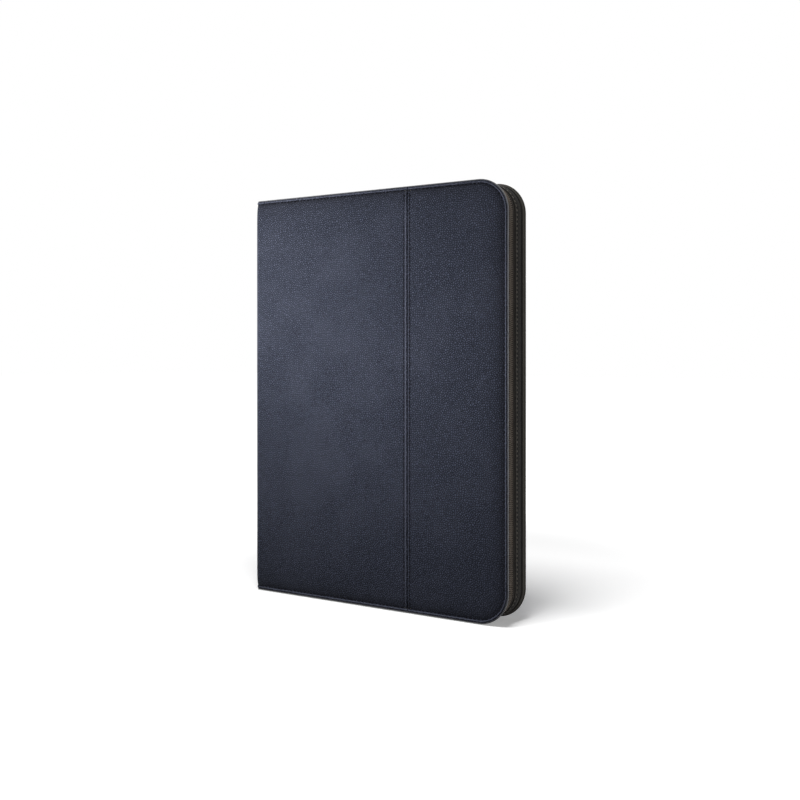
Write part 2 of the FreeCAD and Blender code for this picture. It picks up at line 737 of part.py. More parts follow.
def switch_place():
    """The middle of the power switch at rest, as x and z."""
    return BAY_MID_X, KEYBOARD_Z1 - SWITCH_SETBACK - SWITCH_TRAVEL


def light_places():
    """The z of each status light."""
    first = switch_place()[1] - 3 * LIGHT_PITCH
    return [first - index * LIGHT_PITCH for index in range(LIGHT_COUNT)]


def keyboard_frame():
    """The top frame with an opening for every key, the switch and the lights."""
    outline = rounded_face(KEYBOARD_X0, KEYBOARD_X1, KEYBOARD_Z0, KEYBOARD_Z1, KEYBOARD_R)
    sheet = between(outline, FRAME_FACE_Y, FRAME_BACK_Y)
    rim = [e for e in sheet.Edges if e.BoundBox.YMax < FRAME_FACE_Y + 1e-6]
    sheet = sheet.makeChamfer(FRAME_CHAMFER, rim)
    c = KEY_CLEAR
    holes = [
        block(x0 - c, x1 + c, FRAME_FACE_Y - FRAME_T, FRAME_BACK_Y + FRAME_T, z0 - c, z1 + c)
        for name, units, x0, x1, z0, z1 in key_cells()]
    x, z = switch_place()
    slot_w = SWITCH_W / 2 + SWITCH_CLEAR
    slot_l = SWITCH_L / 2 + SWITCH_CLEAR
    holes.append(block(
        x - slot_w, x + slot_w, FRAME_FACE_Y - FRAME_T, FRAME_BACK_Y + FRAME_T,
        z - slot_l, z + slot_l + SWITCH_TRAVEL))
    for light_z in light_places():
        holes.append(light_block(light_z, LIGHT_CLEAR, FRAME_FACE_Y - FRAME_T))
    return sheet.cut(Part.Compound(holes))


def light_block(z, clear, face_y):
    """A square light pipe from the circuit board out to face_y, grown by a clearance."""
    half = LIGHT_W / 2 + clear
    x = switch_place()[0]
    return block(x - half, x + half, face_y, PCB_FACE_Y, z - half, z + half)


def port_box(clear):
    """The charging socket's outer box grown by a clearance, out through the end wall."""
    return block(
        BAY_X0 - clear, BAY_X1 + clear, FLOOR_Y - PORT_H - clear, FLOOR_Y,
        KEYBOARD_Z1 - PORT_L - clear, KEYBOARD_Z1)


def keyboard_base():
    """The lower tray, open towards the frame, with a way out for the charging socket."""
    outline = rounded_face(KEYBOARD_X0, KEYBOARD_X1, KEYBOARD_Z0, KEYBOARD_Z1, KEYBOARD_R)
    wall = BASE_WALL
    hollow = rounded_face(
        KEYBOARD_X0 + wall, KEYBOARD_X1 - wall, KEYBOARD_Z0 + wall, KEYBOARD_Z1 - wall,
        KEYBOARD_R - wall)
    tray = between(outline, FRAME_BACK_Y, BASE_BACK_Y)
    return tray.cut(between(hollow, FRAME_BACK_Y, FLOOR_Y)).cut(port_box(PORT_CLEAR))


def charge_socket():
    """A metal charging socket: a hollow shell with a tongue, open at the end."""
    shell = port_box(0)
    mouth = block(
        BAY_X0 + PORT_WALL, BAY_X1 - PORT_WALL, FLOOR_Y - PORT_H + PORT_WALL, FLOOR_Y - PORT_WALL,
        KEYBOARD_Z1 - PORT_L + PORT_WALL, KEYBOARD_Z1)
    tongue_y = FLOOR_Y - PORT_H / 2
    tongue = block(
        BAY_X0 + 4 * PORT_WALL, BAY_X1 - 4 * PORT_WALL,
        tongue_y - PORT_TONGUE_T / 2, tongue_y + PORT_TONGUE_T / 2,
        KEYBOARD_Z1 - PORT_L, KEYBOARD_Z1 - 2 * PORT_WALL)
    return shell.cut(mouth).fuse(tongue)


def key_sheets():
    """Backing plate, contact film and dome sheet under the keys."""
    x0 = KEYBOARD_X0 + TOP_BEZEL - BAY_CLEAR
    x1 = KEYBOARD_X1 - BASE_WALL - SHEET_CLEAR
    z0 = KEYBOARD_Z0 + BASE_WALL + SHEET_CLEAR
    z1 = KEYBOARD_Z1 - BASE_WALL - SHEET_CLEAR
    corner = KEYBOARD_R - BASE_WALL
    outline = rounded_face(x0, x1, z0, z1, corner)
    nodes = {}
    y = FLOOR_Y
    for name, thickness in (
            ("key_plate", PLATE_T), ("key_membrane", MEMBRANE_T), ("dome_sheet", DOME_SHEET_T)):
        nodes[name] = between(outline, y - thickness, y)
        y -= thickness
    return nodes


def keyboard_electrics():
    """Circuit board, battery, switch knob and status lights in the bay above the keys."""
    board_z1 = KEYBOARD_Z1 - PORT_L - 2 * PORT_CLEAR
    battery_z0 = KEYBOARD_Z0 + KEYBOARD_R
    x, z = switch_place()
    knob_y = FRAME_FACE_Y - SWITCH_RISE
    lights = [light_block(light_z, 0, FRAME_FACE_Y) for light_z in light_places()]
    return {
        "keyboard_pcb": block(BAY_X0, BAY_X1, PCB_FACE_Y, FLOOR_Y, board_z1 - PCB_L, board_z1),
        "keyboard_battery": block(
            BAY_X0, BAY_X1, FLOOR_Y - BATTERY_T, FLOOR_Y, battery_z0, battery_z0 + BATTERY_L),
        "power_switch": block(
            x - SWITCH_W / 2, x + SWITCH_W / 2, knob_y, PCB_FACE_Y - SWITCH_CLEAR,
            z - SWITCH_L / 2, z + SWITCH_L / 2),
        "status_lights": Part.Compound(lights),
        "charge_socket": charge_socket(),
    }


def keyboard_adhesive():
    """The adhesive sheet between the keyboard and the back lining."""
    inset = ADHESIVE_INSET
    outline = rounded_face(
        KEYBOARD_X0 + inset, KEYBOARD_X1 - inset, KEYBOARD_Z0 + inset, KEYBOARD_Z1 - inset,
        KEYBOARD_R - inset)
    return between(outline, BASE_BACK_Y, BACK_INSIDE_Y)


def all_nodes():
    """Every piece of the case by name."""
    nodes = {}
    nodes.update(back_cover())
    nodes.update(front_inner_panel())
    nodes.update(front_outer_panel())
    nodes.update(spine())
    nodes["gusset"] = gusset()
    nodes.update(zip_back())
    nodes.update(zip_front())
    nodes["zip_slider"] = zip_slider()
    nodes["zip_pull"] = zip_pull()
    nodes.update(corner_straps())
    nodes["tablet_rest"] = tablet_rest()
    nodes["keyboard_frame"] = keyboard_frame()
    nodes["keyboard_base"] = keyboard_base()
    nodes.update(keys())
    nodes.update(key_sheets())
    nodes.update(keyboard_electrics())
    nodes["keyboard_adhesive"] = keyboard_adhesive()
    return nodes


os.makedirs("parts", exist_ok=True)
for node_name, shape in all_nodes().items():
    shape.exportStep("parts/" + node_name + ".step")
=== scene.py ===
"""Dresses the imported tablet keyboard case: leather covers, sewing, zip, lining, straps and keyboard.

Lengths in the classes are millimetres in the part's own frame. They become metres when a mesh is made.
"""

import logging
import math
from dataclasses import dataclass
from enum import Enum

import bmesh
import bpy
import numpy as np
from mathutils import Matrix, Vector


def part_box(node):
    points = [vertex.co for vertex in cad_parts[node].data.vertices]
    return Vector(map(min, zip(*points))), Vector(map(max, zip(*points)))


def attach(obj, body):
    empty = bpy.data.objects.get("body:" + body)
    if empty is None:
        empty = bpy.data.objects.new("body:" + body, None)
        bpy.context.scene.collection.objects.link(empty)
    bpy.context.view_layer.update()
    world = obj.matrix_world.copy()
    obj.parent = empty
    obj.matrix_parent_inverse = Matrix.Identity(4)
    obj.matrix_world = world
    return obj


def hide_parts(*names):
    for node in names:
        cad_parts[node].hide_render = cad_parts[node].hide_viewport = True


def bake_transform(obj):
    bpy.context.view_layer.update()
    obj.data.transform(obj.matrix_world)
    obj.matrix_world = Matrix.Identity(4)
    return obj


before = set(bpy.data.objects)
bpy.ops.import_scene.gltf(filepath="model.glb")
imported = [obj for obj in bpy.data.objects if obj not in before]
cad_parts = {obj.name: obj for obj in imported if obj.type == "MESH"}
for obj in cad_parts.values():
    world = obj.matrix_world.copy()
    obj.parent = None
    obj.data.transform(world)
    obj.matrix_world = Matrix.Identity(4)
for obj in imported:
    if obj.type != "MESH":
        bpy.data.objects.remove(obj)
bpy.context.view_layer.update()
LOG = logging.getLogger("case")
MM = 0.001
WHITE = (1.0, 1.0, 1.0, 1.0)
Array = np.ndarray
Colour = tuple[float, float, float, float]
Columns = dict[str, np.ndarray]
Material = bpy.types.Material
Piece = bpy.types.Object
Socket = bpy.types.NodeSocket


def srgb(red: int, green: int, blue: int) -> Colour:
    """A linear colour from three 8-bit sRGB numbers."""
    parts = [c / 255 for c in (red, green, blue)]
    linear = [c / 12.92 if c <= 0.04045 else ((c + 0.055) / 1.055) ** 2.4 for c in parts]
    return (*linear, 1.0)


# Finishes

class Nodes:
    """Adds nodes to a tree."""

    def __init__(self, tree: bpy.types.NodeTree) -> None:
        """Takes the tree that the nodes go into."""
        self.tree = tree

    def add(self, kind: str, inputs: dict | None = None, **settings: object) -> bpy.types.Node:
        """Adds a node.

        Args:
            kind: The node's type name.
            inputs: Sockets or values by input name or number.
            settings: The node's own settings.

        Returns:
            The new node.
        """
        node = self.tree.nodes.new(kind)
        for key, value in settings.items():
            setattr(node, key, value)
        for key, value in (inputs or {}).items():
            self.put(node.inputs[key], value)
        return node

    def put(self, socket: Socket, value: object) -> None:
        """Links a socket to another, or sets its value."""
        if isinstance(value, Socket):
            self.tree.links.new(value, socket)
        else:
            socket.default_value = value

    def maths(self, operation: str, *values: object) -> Socket:
        """One step of arithmetic on up to three values."""
        return self.add("ShaderNodeMath", dict(enumerate(values)), operation=operation).outputs["Value"]

    def seen(self) -> Socket:
        """1 for rays that see the background: from the camera, or off gloss, or through glass."""
        path = self.add("ShaderNodeLightPath").outputs
        total = path["Is Camera Ray"]
        for key in ("Is Glossy Ray", "Is Transmission Ray"):
            total = self.maths("MAXIMUM", total, path[key])
        return total


class NodeBoard(Nodes):
    """Builds the nodes of one material."""

    def __init__(self, name: str) -> None:
        """Starts a material with a plain shader and the object's own coordinates."""
        self.material = bpy.data.materials.new(name)
        self.material.use_nodes = True
        super().__init__(self.material.node_tree)
        self.shader = self.tree.nodes["Principled BSDF"]
        self.place = self.add("ShaderNodeTexCoord").outputs["Object"]

    def noise(self, scale: float, detail: float = 3.0, place: object = None) -> Socket:
        """Cloudy noise from 0 to 1."""
        inputs = {"Vector": place or self.place, "Scale": scale, "Detail": detail}
        return self.add("ShaderNodeTexNoise", inputs).outputs["Fac"]

    def warped(self, scale: float, reach: float, place: object = None) -> Socket:
        """A place pushed about by noise, by up to a reach in metres."""
        place = place or self.place
        push = self.add("ShaderNodeTexNoise", {"Vector": place, "Scale": scale, "Detail": 2.0})
        inputs = {0: push.outputs["Color"], 1: (reach, reach, reach), 2: place}
        return self.add("ShaderNodeVectorMath", inputs, operation="MULTIPLY_ADD").outputs["Vector"]

    def cells(self, scale: float, feature: str, place: object = None) -> Socket:
        """Distances in a net of random cells, flat where a place is given."""
        inputs = {"Vector": place or self.place, "Scale": scale}
        flat = "3D" if place is None else "2D"
        node = self.add("ShaderNodeTexVoronoi", inputs, feature=feature, voronoi_dimensions=flat)
        return node.outputs["Distance"]

    def ramp(self, value: object, low: float, high: float, start: float = 0.0,
             end: float = 1.0) -> Socket:
        """A smooth step of a value between two levels."""
        inputs = {0: value, 1: low, 2: high, 3: start, 4: end}
        return self.add("ShaderNodeMapRange", inputs, interpolation_type="SMOOTHSTEP").outputs["Result"]

    def mix(self, share: object, first: object, second: object) -> Socket:
        """A colour between two, by a share."""
        inputs = {0: share, 6: first, 7: second}
        return self.add("ShaderNodeMix", inputs, data_type="RGBA").outputs[2]

    def mark(self, name: str) -> Socket:
        """A number that the mesh carries at its points."""
        return self.add("ShaderNodeAttribute", attribute_name=name).outputs["Fac"]

    def axes(self, place: object) -> list[Socket]:
        """The three parts of a place."""
        return list(self.add("ShaderNodeSeparateXYZ", {0: place}).outputs)

    def laid(self) -> Socket:
        """The place on the piece laid flat, in metres, from its UV map."""
        return self.add("ShaderNodeUVMap", uv_map="run").outputs["UV"]

    def run(self) -> list[Socket]:
        """Metres along and across a band."""
        return self.axes(self.laid())

    def stripes(self, along: object, period: float) -> Socket:
        """Even waves from 0 to 1, a period in metres apart."""
        wave = self.maths("SINE", self.maths("MULTIPLY", along, 2 * math.pi / period))
        return self.ramp(wave, -1.0, 1.0)

    def wire(self, colour: object, roughness: object, height: object, depth: float,
             **uniform: float) -> Material:
        """Joins the finish to the shader.

        Args:
            colour: The base colour.
            roughness: The roughness.
            height: The relief, from 0 to 1.
            depth: What a height of 1 stands for, in metres.
            uniform: Shader values that are the same all over, by input name with underscores.

        Returns:
            The material.
        """
        self.put(self.shader.inputs["Base Color"], colour)
        self.put(self.shader.inputs["Roughness"], roughness)
        bump = self.add("ShaderNodeBump", {"Strength": 1.0, "Distance": depth, "Height": height})
        self.put(self.shader.inputs["Normal"], bump.outputs["Normal"])
        for key, value in uniform.items():
            self.shader.inputs[key.replace("_", " ")].default_value = value
        return self.material


@dataclass(frozen=True)
class Leather:
    """Pebbled leatherette, with painted shade in its grain's creases and sewn lines and a painted highlight
    with wear on its crests.
    """

    name: str
    colour: Colour
    # The colour in the grain's creases, a painted shade.
    crease: Colour
    # A paler colour for random patches, and for wear with a painted highlight along crests.
    pale_and_highlight: Colour
    # The dark colour painted in as shade where the seam mark is high.
    painted_shade: Colour = srgb(12, 12, 17)
    cell: float = 1.35
    swell: float = 1.9
    warp: float = 0.6
    relief: float = 0.36
    smooth: float = 0.5
    dull: float = 0.16
    gloss: float = 0.09
    bloom: float = 0.07
    # How far the crest mark pulls the colour pale, as wear with a painted highlight.
    wear: float = 0.8

    def make(self) -> Material:
        """Returns the leather's material."""
        n = NodeBoard(self.name)
        place = n.warped(300.0, self.warp * MM, n.laid())
        pebble = n.ramp(n.cells(1 / (self.cell * MM), "DISTANCE_TO_EDGE", place), 0.0, 0.42)
        wide = n.ramp(n.cells(1 / (self.swell * self.cell * MM), "SMOOTH_F1", place), 0.15, 0.75)
        pores = n.noise(5200.0, 2.0)
        fine = n.maths("MULTIPLY_ADD", wide, -0.18, n.maths("MULTIPLY", pores, 0.12))
        height = n.maths("MULTIPLY_ADD", pebble, 0.8, fine)
        # Painted shade: the grain's creases are darker than its pebbles.
        shade = n.mix(n.ramp(pebble, 0.0, 0.8), self.crease, self.colour)
        shade = n.mix(n.ramp(n.noise(34.0, 2.0), 0.35, 0.75, 0.0, self.bloom), shade, self.pale_and_highlight)
        # Wear with a painted highlight along the crests marked on the mesh.
        shade = n.mix(n.maths("MULTIPLY", n.mark("rub"), self.wear), shade, self.pale_and_highlight)
        # Painted shade in sewn grooves, gaps, undersides and beside the edges, where the seam mark is high.
        shade = n.mix(n.mark("seam"), shade, self.painted_shade)
        crest = n.ramp(pebble, 0.0, 1.0, self.smooth + self.dull, self.smooth)
        rough = n.maths("MULTIPLY_ADD", n.mark("rub"), -0.06, crest)
        return n.wire(shade, rough, height, self.relief * MM, Specular_IOR_Level=self.gloss)


@dataclass(frozen=True)
class Thread:
    """Twisted sewing thread."""

    name: str
    colour: Colour
    light: Colour
    ply: float = 0.42

    def make(self) -> Material:
        """Returns the thread's material."""
        n = NodeBoard(self.name)
        x, y, z = n.axes(n.place)
        lay = n.maths("ADD", n.maths("ADD", x, y), z)
        twist = n.stripes(lay, self.ply * MM)
        fuzz = n.noise(9000.0, 2.0)
        shade = n.mix(n.maths("MULTIPLY", twist, fuzz), self.colour, self.light)
        return n.wire(shade, n.ramp(fuzz, 0.2, 0.8, 0.55, 0.75), twist, 0.00006, Specular_IOR_Level=0.1)


@dataclass(frozen=True)
class Tape:
    """Woven zip tape, herringbone across its width."""

    name: str
    warp: Colour
    weft: Colour
    # The dark colour painted in as shade where the seam mark is high.
    painted_shade: Colour = srgb(12, 12, 12)
    pitch: float = 0.62
    end: float = 0.45
    bones: float = 420.0

    def make(self) -> Material:
        """Returns the tape's material."""
        n = NodeBoard(self.name)
        along, across, _ = n.run()
        bone = n.maths("FRACT", n.maths("MULTIPLY", across, self.bones))
        bent = n.maths("ABSOLUTE", n.maths("SUBTRACT", bone, 0.5))
        twill = n.stripes(n.maths("MULTIPLY_ADD", bent, 0.0024, along), self.pitch * MM)
        ends = n.stripes(across, self.end * MM)
        fuzz = n.noise(7000.0, 2.0)
        height = n.maths("MULTIPLY", n.maths("ADD", twill, n.maths("MULTIPLY", ends, 0.4)), 0.7)
        worn = n.maths("MULTIPLY", height, n.ramp(fuzz, 0.2, 0.8, 0.6, 1.0))
        # Painted shade where the tape meets the gusset.
        shade = n.mix(n.mark("seam"), n.mix(worn, self.weft, self.warp), self.painted_shade)
        return n.wire(shade, n.ramp(fuzz, 0.2, 0.8, 0.72, 0.88), height, 0.00012,
                      Sheen_Weight=0.05, Specular_IOR_Level=0.12)


@dataclass(frozen=True)
class Suede:
    """Brushed microfibre with a soft nap."""

    name: str
    colour: Colour
    nap: Colour

    def make(self) -> Material:
        """Returns the cloth's material."""
        n = NodeBoard(self.name)
        fibre = n.noise(2600.0, 4.0)
        brush = n.noise(70.0, 3.0, n.warped(18.0, 0.03))
        shade = n.mix(n.maths("MULTIPLY", fibre, n.ramp(brush, 0.3, 0.7, 0.35, 1.0)), self.colour, self.nap)
        return n.wire(shade, n.ramp(fibre, 0.2, 0.8, 0.82, 0.95), fibre, 0.00018,
                      Sheen_Weight=0.25, Specular_IOR_Level=0.1)


@dataclass(frozen=True)
class Elastic:
    """Ribbed elastic webbing."""

    name: str
    colour: Colour
    valley: Colour
    pick: float = 0.85
    cord: float = 1.1

    def make(self) -> Material:
        """Returns the webbing's material."""
        n = NodeBoard(self.name)
        along, across, _ = n.run()
        picks = n.stripes(along, self.pick * MM)
        cords = n.stripes(across, self.cord * MM)
        height = n.maths("ADD", n.maths("MULTIPLY", picks, 0.7), n.maths("MULTIPLY", cords, 0.3))
        fuzz = n.noise(6500.0, 2.0)
        worn = n.maths("MULTIPLY", height, n.ramp(fuzz, 0.2, 0.8, 0.6, 1.0))
        shade = n.mix(worn, self.valley, self.colour)
        return n.wire(shade, n.ramp(fuzz, 0.2, 0.8, 0.7, 0.9), height, 0.0002,
                      Sheen_Weight=0.15, Specular_IOR_Level=0.15)


@dataclass(frozen=True)
class Moulded:
    """Moulded plastic, rubber or film with a fine spark texture."""

    name: str
    colour: Colour
    tint: Colour
    spark: float = 0.35
    relief: float = 0.02
    rough: tuple[float, float] = (0.42, 0.55)
    gloss: float = 0.5

    def make(self) -> Material:
        """Returns the moulding's material."""
        n = NodeBoard(self.name)
        grain = n.noise(1 / (self.spark * MM), 3.0)
        cloud = n.noise(60.0, 2.0)
        shade = n.mix(n.ramp(n.maths("MULTIPLY", grain, cloud), 0.1, 0.5), self.colour, self.tint)
        return n.wire(shade, n.ramp(grain, 0.3, 0.7, *self.rough), grain, self.relief * MM,
                      Specular_IOR_Level=self.gloss)


@dataclass(frozen=True)
class Metal:
    """Plated or brushed metal with fine wear."""

    name: str
    colour: Colour
    worn: Colour
    rough: tuple[float, float] = (0.24, 0.42)
    stretch: float = 0.08

    def make(self) -> Material:
        """Returns the metal's material."""
        n = NodeBoard(self.name)
        flat = n.add("ShaderNodeMapping", {"Vector": n.place, "Scale": (self.stretch, 1.0, 1.0)})
        brush = n.noise(5200.0, 3.0, flat.outputs["Vector"])
        wear = n.noise(420.0, 4.0)
        shade = n.mix(n.ramp(wear, 0.5, 0.75), self.colour, self.worn)
        return n.wire(shade, n.ramp(brush, 0.3, 0.7, *self.rough), brush, 0.000012, Metallic=1.0)


@dataclass(frozen=True)
class Board:
    """Pressed grey board, or a printed circuit with tracks."""

    name: str
    colour: Colour
    fleck: Colour
    tracks: bool = False

    def make(self) -> Material:
        """Returns the board's material."""
        n = NodeBoard(self.name)
        fibre = n.noise(900.0, 5.0)
        pattern = fibre
        if self.tracks:
            pattern = n.ramp(n.cells(700.0, "DISTANCE_TO_EDGE"), 0.03, 0.06, 1.0, 0.0)
        shade = n.mix(n.ramp(pattern, 0.4, 0.65), self.colour, self.fleck)
        return n.wire(shade, n.ramp(fibre, 0.2, 0.8, 0.6, 0.85), pattern, 0.00005)


@dataclass(frozen=True)
class Glow:
    """A clear light pipe with a faint lamp behind it."""

    name: str
    colour: Colour
    strength: float

    def make(self) -> Material:
        """Returns the light pipe's material."""
        n = NodeBoard(self.name)
        haze = n.noise(1500.0, 2.0)
        shade = n.mix(n.ramp(haze, 0.3, 0.7, 0.0, 0.3), self.colour, srgb(235, 240, 235))
        n.put(n.shader.inputs["Emission Color"], self.colour)
        return n.wire(shade, n.ramp(haze, 0.3, 0.7, 0.2, 0.3), haze, 0.00001,
                      Emission_Strength=self.strength)


def finish(kind: type, name: str, *shades: tuple[int, int, int], **more: object) -> Material:
    """A material of some kind, from its sRGB colours and its other values."""
    return kind(name, *(srgb(*s) for s in shades), **more).make()


class Finishes:
    """Every finish of the case, made once."""

    def __init__(self) -> None:
        """Makes the materials."""
        # Each leather's third colour is its pale tone: random patches, and wear with a painted highlight
        # along crests; the piping's is its worn edge with a painted highlight.
        self.navy = finish(Leather, "leather_navy_pebble", (79, 85, 104), (34, 37, 47), (128, 132, 153))
        self.piping = finish(Leather, "leather_slate_piping", (80, 82, 92), (56, 58, 68), (208, 209, 213),
                             cell=0.6, relief=0.04, smooth=0.4)
        self.black = finish(Leather, "leather_black_grain", (27, 25, 22), (10, 9, 8), (78, 75, 70),
                            cell=1.05, relief=0.13)
        self.thread_navy = finish(Thread, "thread_dark_navy", (12, 12, 18), (30, 31, 41))
        self.thread_grey = finish(Thread, "thread_taupe", (122, 116, 108), (166, 159, 149))
        self.tape = finish(Tape, "zip_tape_weave", (66, 60, 55), (34, 31, 28))
        self.coil = finish(Moulded, "zip_coil_nylon", (94, 85, 76), (122, 112, 101),
                           spark=0.6, relief=0.01, rough=(0.4, 0.55), gloss=0.12)
        self.metal = finish(Metal, "zip_gunmetal", (74, 73, 76), (118, 116, 114), rough=(0.3, 0.48))
        self.lining = finish(Suede, "lining_microfibre", (30, 31, 35), (56, 57, 62))
        self.elastic = finish(Elastic, "elastic_ribs", (42, 42, 45), (16, 16, 18))
        self.rubber = finish(Moulded, "rest_rubber_matt", (30, 30, 32), (44, 44, 46),
                             spark=0.5, relief=0.03, rough=(0.62, 0.78), gloss=0.35)
        self.shell = finish(Moulded, "keyboard_shell_spark", (33, 34, 37), (46, 47, 51), spark=0.3)
        self.keycap = finish(Moulded, "keycap_satin", (24, 24, 27), (34, 34, 38),
                             spark=0.22, relief=0.012, rough=(0.38, 0.5))
        self.ink = finish(Moulded, "legend_ink", (196, 198, 202), (222, 223, 226),
                          spark=0.3, relief=0.004, rough=(0.5, 0.6))
        self.knob = finish(Moulded, "switch_knob_grip", (120, 122, 126), (150, 152, 156), spark=0.3)
        self.socket = finish(Metal, "socket_nickel", (150, 151, 153), (190, 190, 190))
        self.inside = {
            "light_pipe": finish(Glow, "light_pipe_green", (120, 200, 130), strength=0.25),
            "zip_metal": self.metal,
            "cover_board": finish(Board, "cover_board_grey", (120, 115, 106), (82, 78, 72)),
            "backing_steel": finish(Metal, "backing_steel_brushed", (140, 142, 145), (170, 170, 172)),
            "contact_film": finish(Moulded, "contact_film_clear", (150, 156, 150), (176, 180, 174),
                                   spark=0.8, relief=0.006),
            "dome_silicone": finish(Moulded, "dome_silicone_milky", (176, 178, 180), (198, 200, 202),
                                    spark=0.7),
            "circuit_board": finish(Board, "circuit_green", (24, 66, 42), (126, 116, 66), tracks=True),
            "battery_foil": finish(Metal, "battery_foil_pouch", (168, 170, 172), (196, 197, 198),
                                   rough=(0.3, 0.5), stretch=1.0),
            "adhesive_sheet": finish(Moulded, "adhesive_film", (190, 186, 172), (206, 202, 190),
                                     spark=1.2, relief=0.01),
        }


# Meshes

class Patch:
    """Gathers grids of points into one mesh."""

    def __init__(self) -> None:
        """Starts with no points."""
        self.points: list[Array] = []
        self.faces: list[tuple[int, ...]] = []
        # The two marks that the finishes read: wear with a painted highlight, and painted shade.
        self.marks: dict[str, list[Array]] = {"rub": [], "seam": []}
        self.runs: list[Array] = []
        self.count = 0

    def grid(self, points: Array, hint: Array, rub: object = 0.0, seam: object = 0.0,
             run: Array | None = None, loop: bool = False) -> None:
        """Adds a grid of quads.

        Args:
            points: Rows by columns by 3, in millimetres.
            hint: The way that most faces look, one for all or one for each point.
            rub: How much wear and painted highlight each point has, from 0 to 1.
            seam: How much painted shade each point has, from 0 to 1, in sewn grooves, gaps, undersides and
                beside edges.
            run: Metres along and across for each point, for the UV map.
            loop: Whether the last column joins the first.
        """
        rows, columns = points.shape[:2]
        index = self.count + np.arange(rows * columns).reshape(rows, columns)
        if loop:
            index = np.concatenate([index, index[:, :1]], axis=1)
        flat = points.reshape(-1, 3)
        a, b = index[:-1, :-1].ravel(), index[1:, :-1].ravel()
        c, d = index[1:, 1:].ravel(), index[:-1, 1:].ravel()
        pa, pb, pc, pd = (flat[i - self.count] for i in (a, b, c, d))
        area = np.cross(pc - pa, pd - pb)
        way = np.broadcast_to(hint, points.shape).reshape(-1, 3)[a - self.count]
        quads = np.stack([a, b, c, d] if (area * way).sum() > 0 else [a, d, c, b], axis=1)
        self.faces.extend(map(tuple, quads.tolist()))
        self.points.append(flat)
        for name, value in (("rub", rub), ("seam", seam)):
            self.marks[name].append(np.broadcast_to(value, (rows, columns)).ravel())
        self.runs.append(np.zeros((rows * columns, 2)) if run is None else run.reshape(-1, 2))
        self.count += rows * columns

    def fan(self, ring: Array, hint: Array) -> None:
        """Closes the end of a band with one flat face."""
        middle = np.broadcast_to(ring.mean(axis=0), ring.shape)
        self.grid(np.stack([ring, middle], axis=0), hint, loop=True)

    def mesh(self, name: str, material: Material, weld: float = 0.004) -> Piece:
        """Makes the mesh.

        Args:
            name: The piece's name.
            material: Its finish.
            weld: Points closer than this become one, in millimetres.

        Returns:
            The object, at the origin.
        """
        data = bpy.data.meshes.new(name)
        points = np.concatenate(self.points) * MM
        data.from_pydata(points.tolist(), [], self.faces)
        for key, parts in self.marks.items():
            data.attributes.new(key, "FLOAT", "POINT").data.foreach_set("value", np.concatenate(parts))
        ends = np.zeros(len(data.loops), np.int32)
        data.loops.foreach_get("vertex_index", ends)
        data.uv_layers.new(name="run").data.foreach_set("uv", np.concatenate(self.runs)[ends].ravel())
        net = bmesh.new()
        net.from_mesh(data)
        bmesh.ops.remove_doubles(net, verts=net.verts, dist=weld * MM)
        bmesh.ops.dissolve_degenerate(net, edges=net.edges, dist=weld * MM / 10)
        net.to_mesh(data)
        net.free()
        data.shade_smooth()
        data.materials.append(material)
        return linked(name, data)


def linked(name: str, data: bpy.types.Mesh) -> Piece:
    """A new object for a mesh, in the scene and at the origin."""
    made = bpy.data.objects.new(name, data)
    bpy.context.scene.collection.objects.link(made)
    return made


def plain(source: Piece, name: str) -> Piece:
    """Turns an object with modifiers into a plain mesh, and removes the object."""
    graph = bpy.context.evaluated_depsgraph_get()
    data = bpy.data.meshes.new_from_object(source.evaluated_get(graph))
    old = source.data
    bpy.data.objects.remove(source)
    bpy.data.meshes.remove(old)
    data.name = name
    return linked(name, data)


def cad_net(node: str, weld: float = 0.002) -> bmesh.types.BMesh:
    """A working copy of a CAD node's mesh, with points that lie within some millimetres made one."""
    net = bmesh.new()
    net.from_mesh(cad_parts[node].data)
    bmesh.ops.remove_doubles(net, verts=net.verts, dist=weld * MM)
    return net


def rounded_copy(node: str, name: str, material: Material, width: float,
                 segments: int = 2, flat: float = 1.5, hard: float = 28.0) -> Piece:
    """A copy of a CAD node with its hard edges rounded.

    Args:
        node: The CAD node.
        name: The new piece's name.
        material: Its finish.
        width: The width of the rounding, in millimetres.
        segments: The steps in the rounding.
        flat: Faces that meet at less than this angle become one, in degrees.
        hard: Edges sharper than this are rounded, in degrees.

    Returns:
        The new piece, as a plain mesh.
    """
    net = cad_net(node)
    bmesh.ops.dissolve_limit(net, angle_limit=math.radians(flat), verts=net.verts, edges=net.edges)
    sharp = [e for e in net.edges if len(e.link_faces) == 2 and e.calc_face_angle() > math.radians(hard)]
    bmesh.ops.bevel(net, geom=sharp, offset=width * MM, offset_type="OFFSET", segments=segments,
                    profile=0.5, affect="EDGES", clamp_overlap=True)
    data = bpy.data.meshes.new(name)
    net.to_mesh(data)
    net.free()
    data.shade_smooth()
    data.materials.clear()
    data.materials.append(material)
    made = linked(name + "_raw", data)
    made.modifiers.new("even_normals", "WEIGHTED_NORMAL").keep_sharp = True
    return plain(made, name)


@dataclass(frozen=True)
class Crossing:
    """Where a soft piece bends between two bodies, in millimetres."""

    first: str
    second: str
    start: tuple[float, float, float]
    end: tuple[float, float, float]


def settle(piece: Piece, on: str | Crossing,
           stands_for: tuple[str, ...] = ()) -> None:
    """Puts a finished piece on its body, or leaves it where it is when it lies across a crossing, and hides
    what it stands for.

    Args:
        piece: The finished mesh.
        on: A body's name, or the crossing that the piece bends over.
        stands_for: CAD nodes that the piece replaces.
    """
    if isinstance(on, Crossing):
        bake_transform(piece)
    else:
        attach(piece, on)
    if stands_for:
        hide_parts(*stands_for)
    LOG.info("%s: %d faces", piece.name, len(piece.data.polygons))


# Geometry Nodes

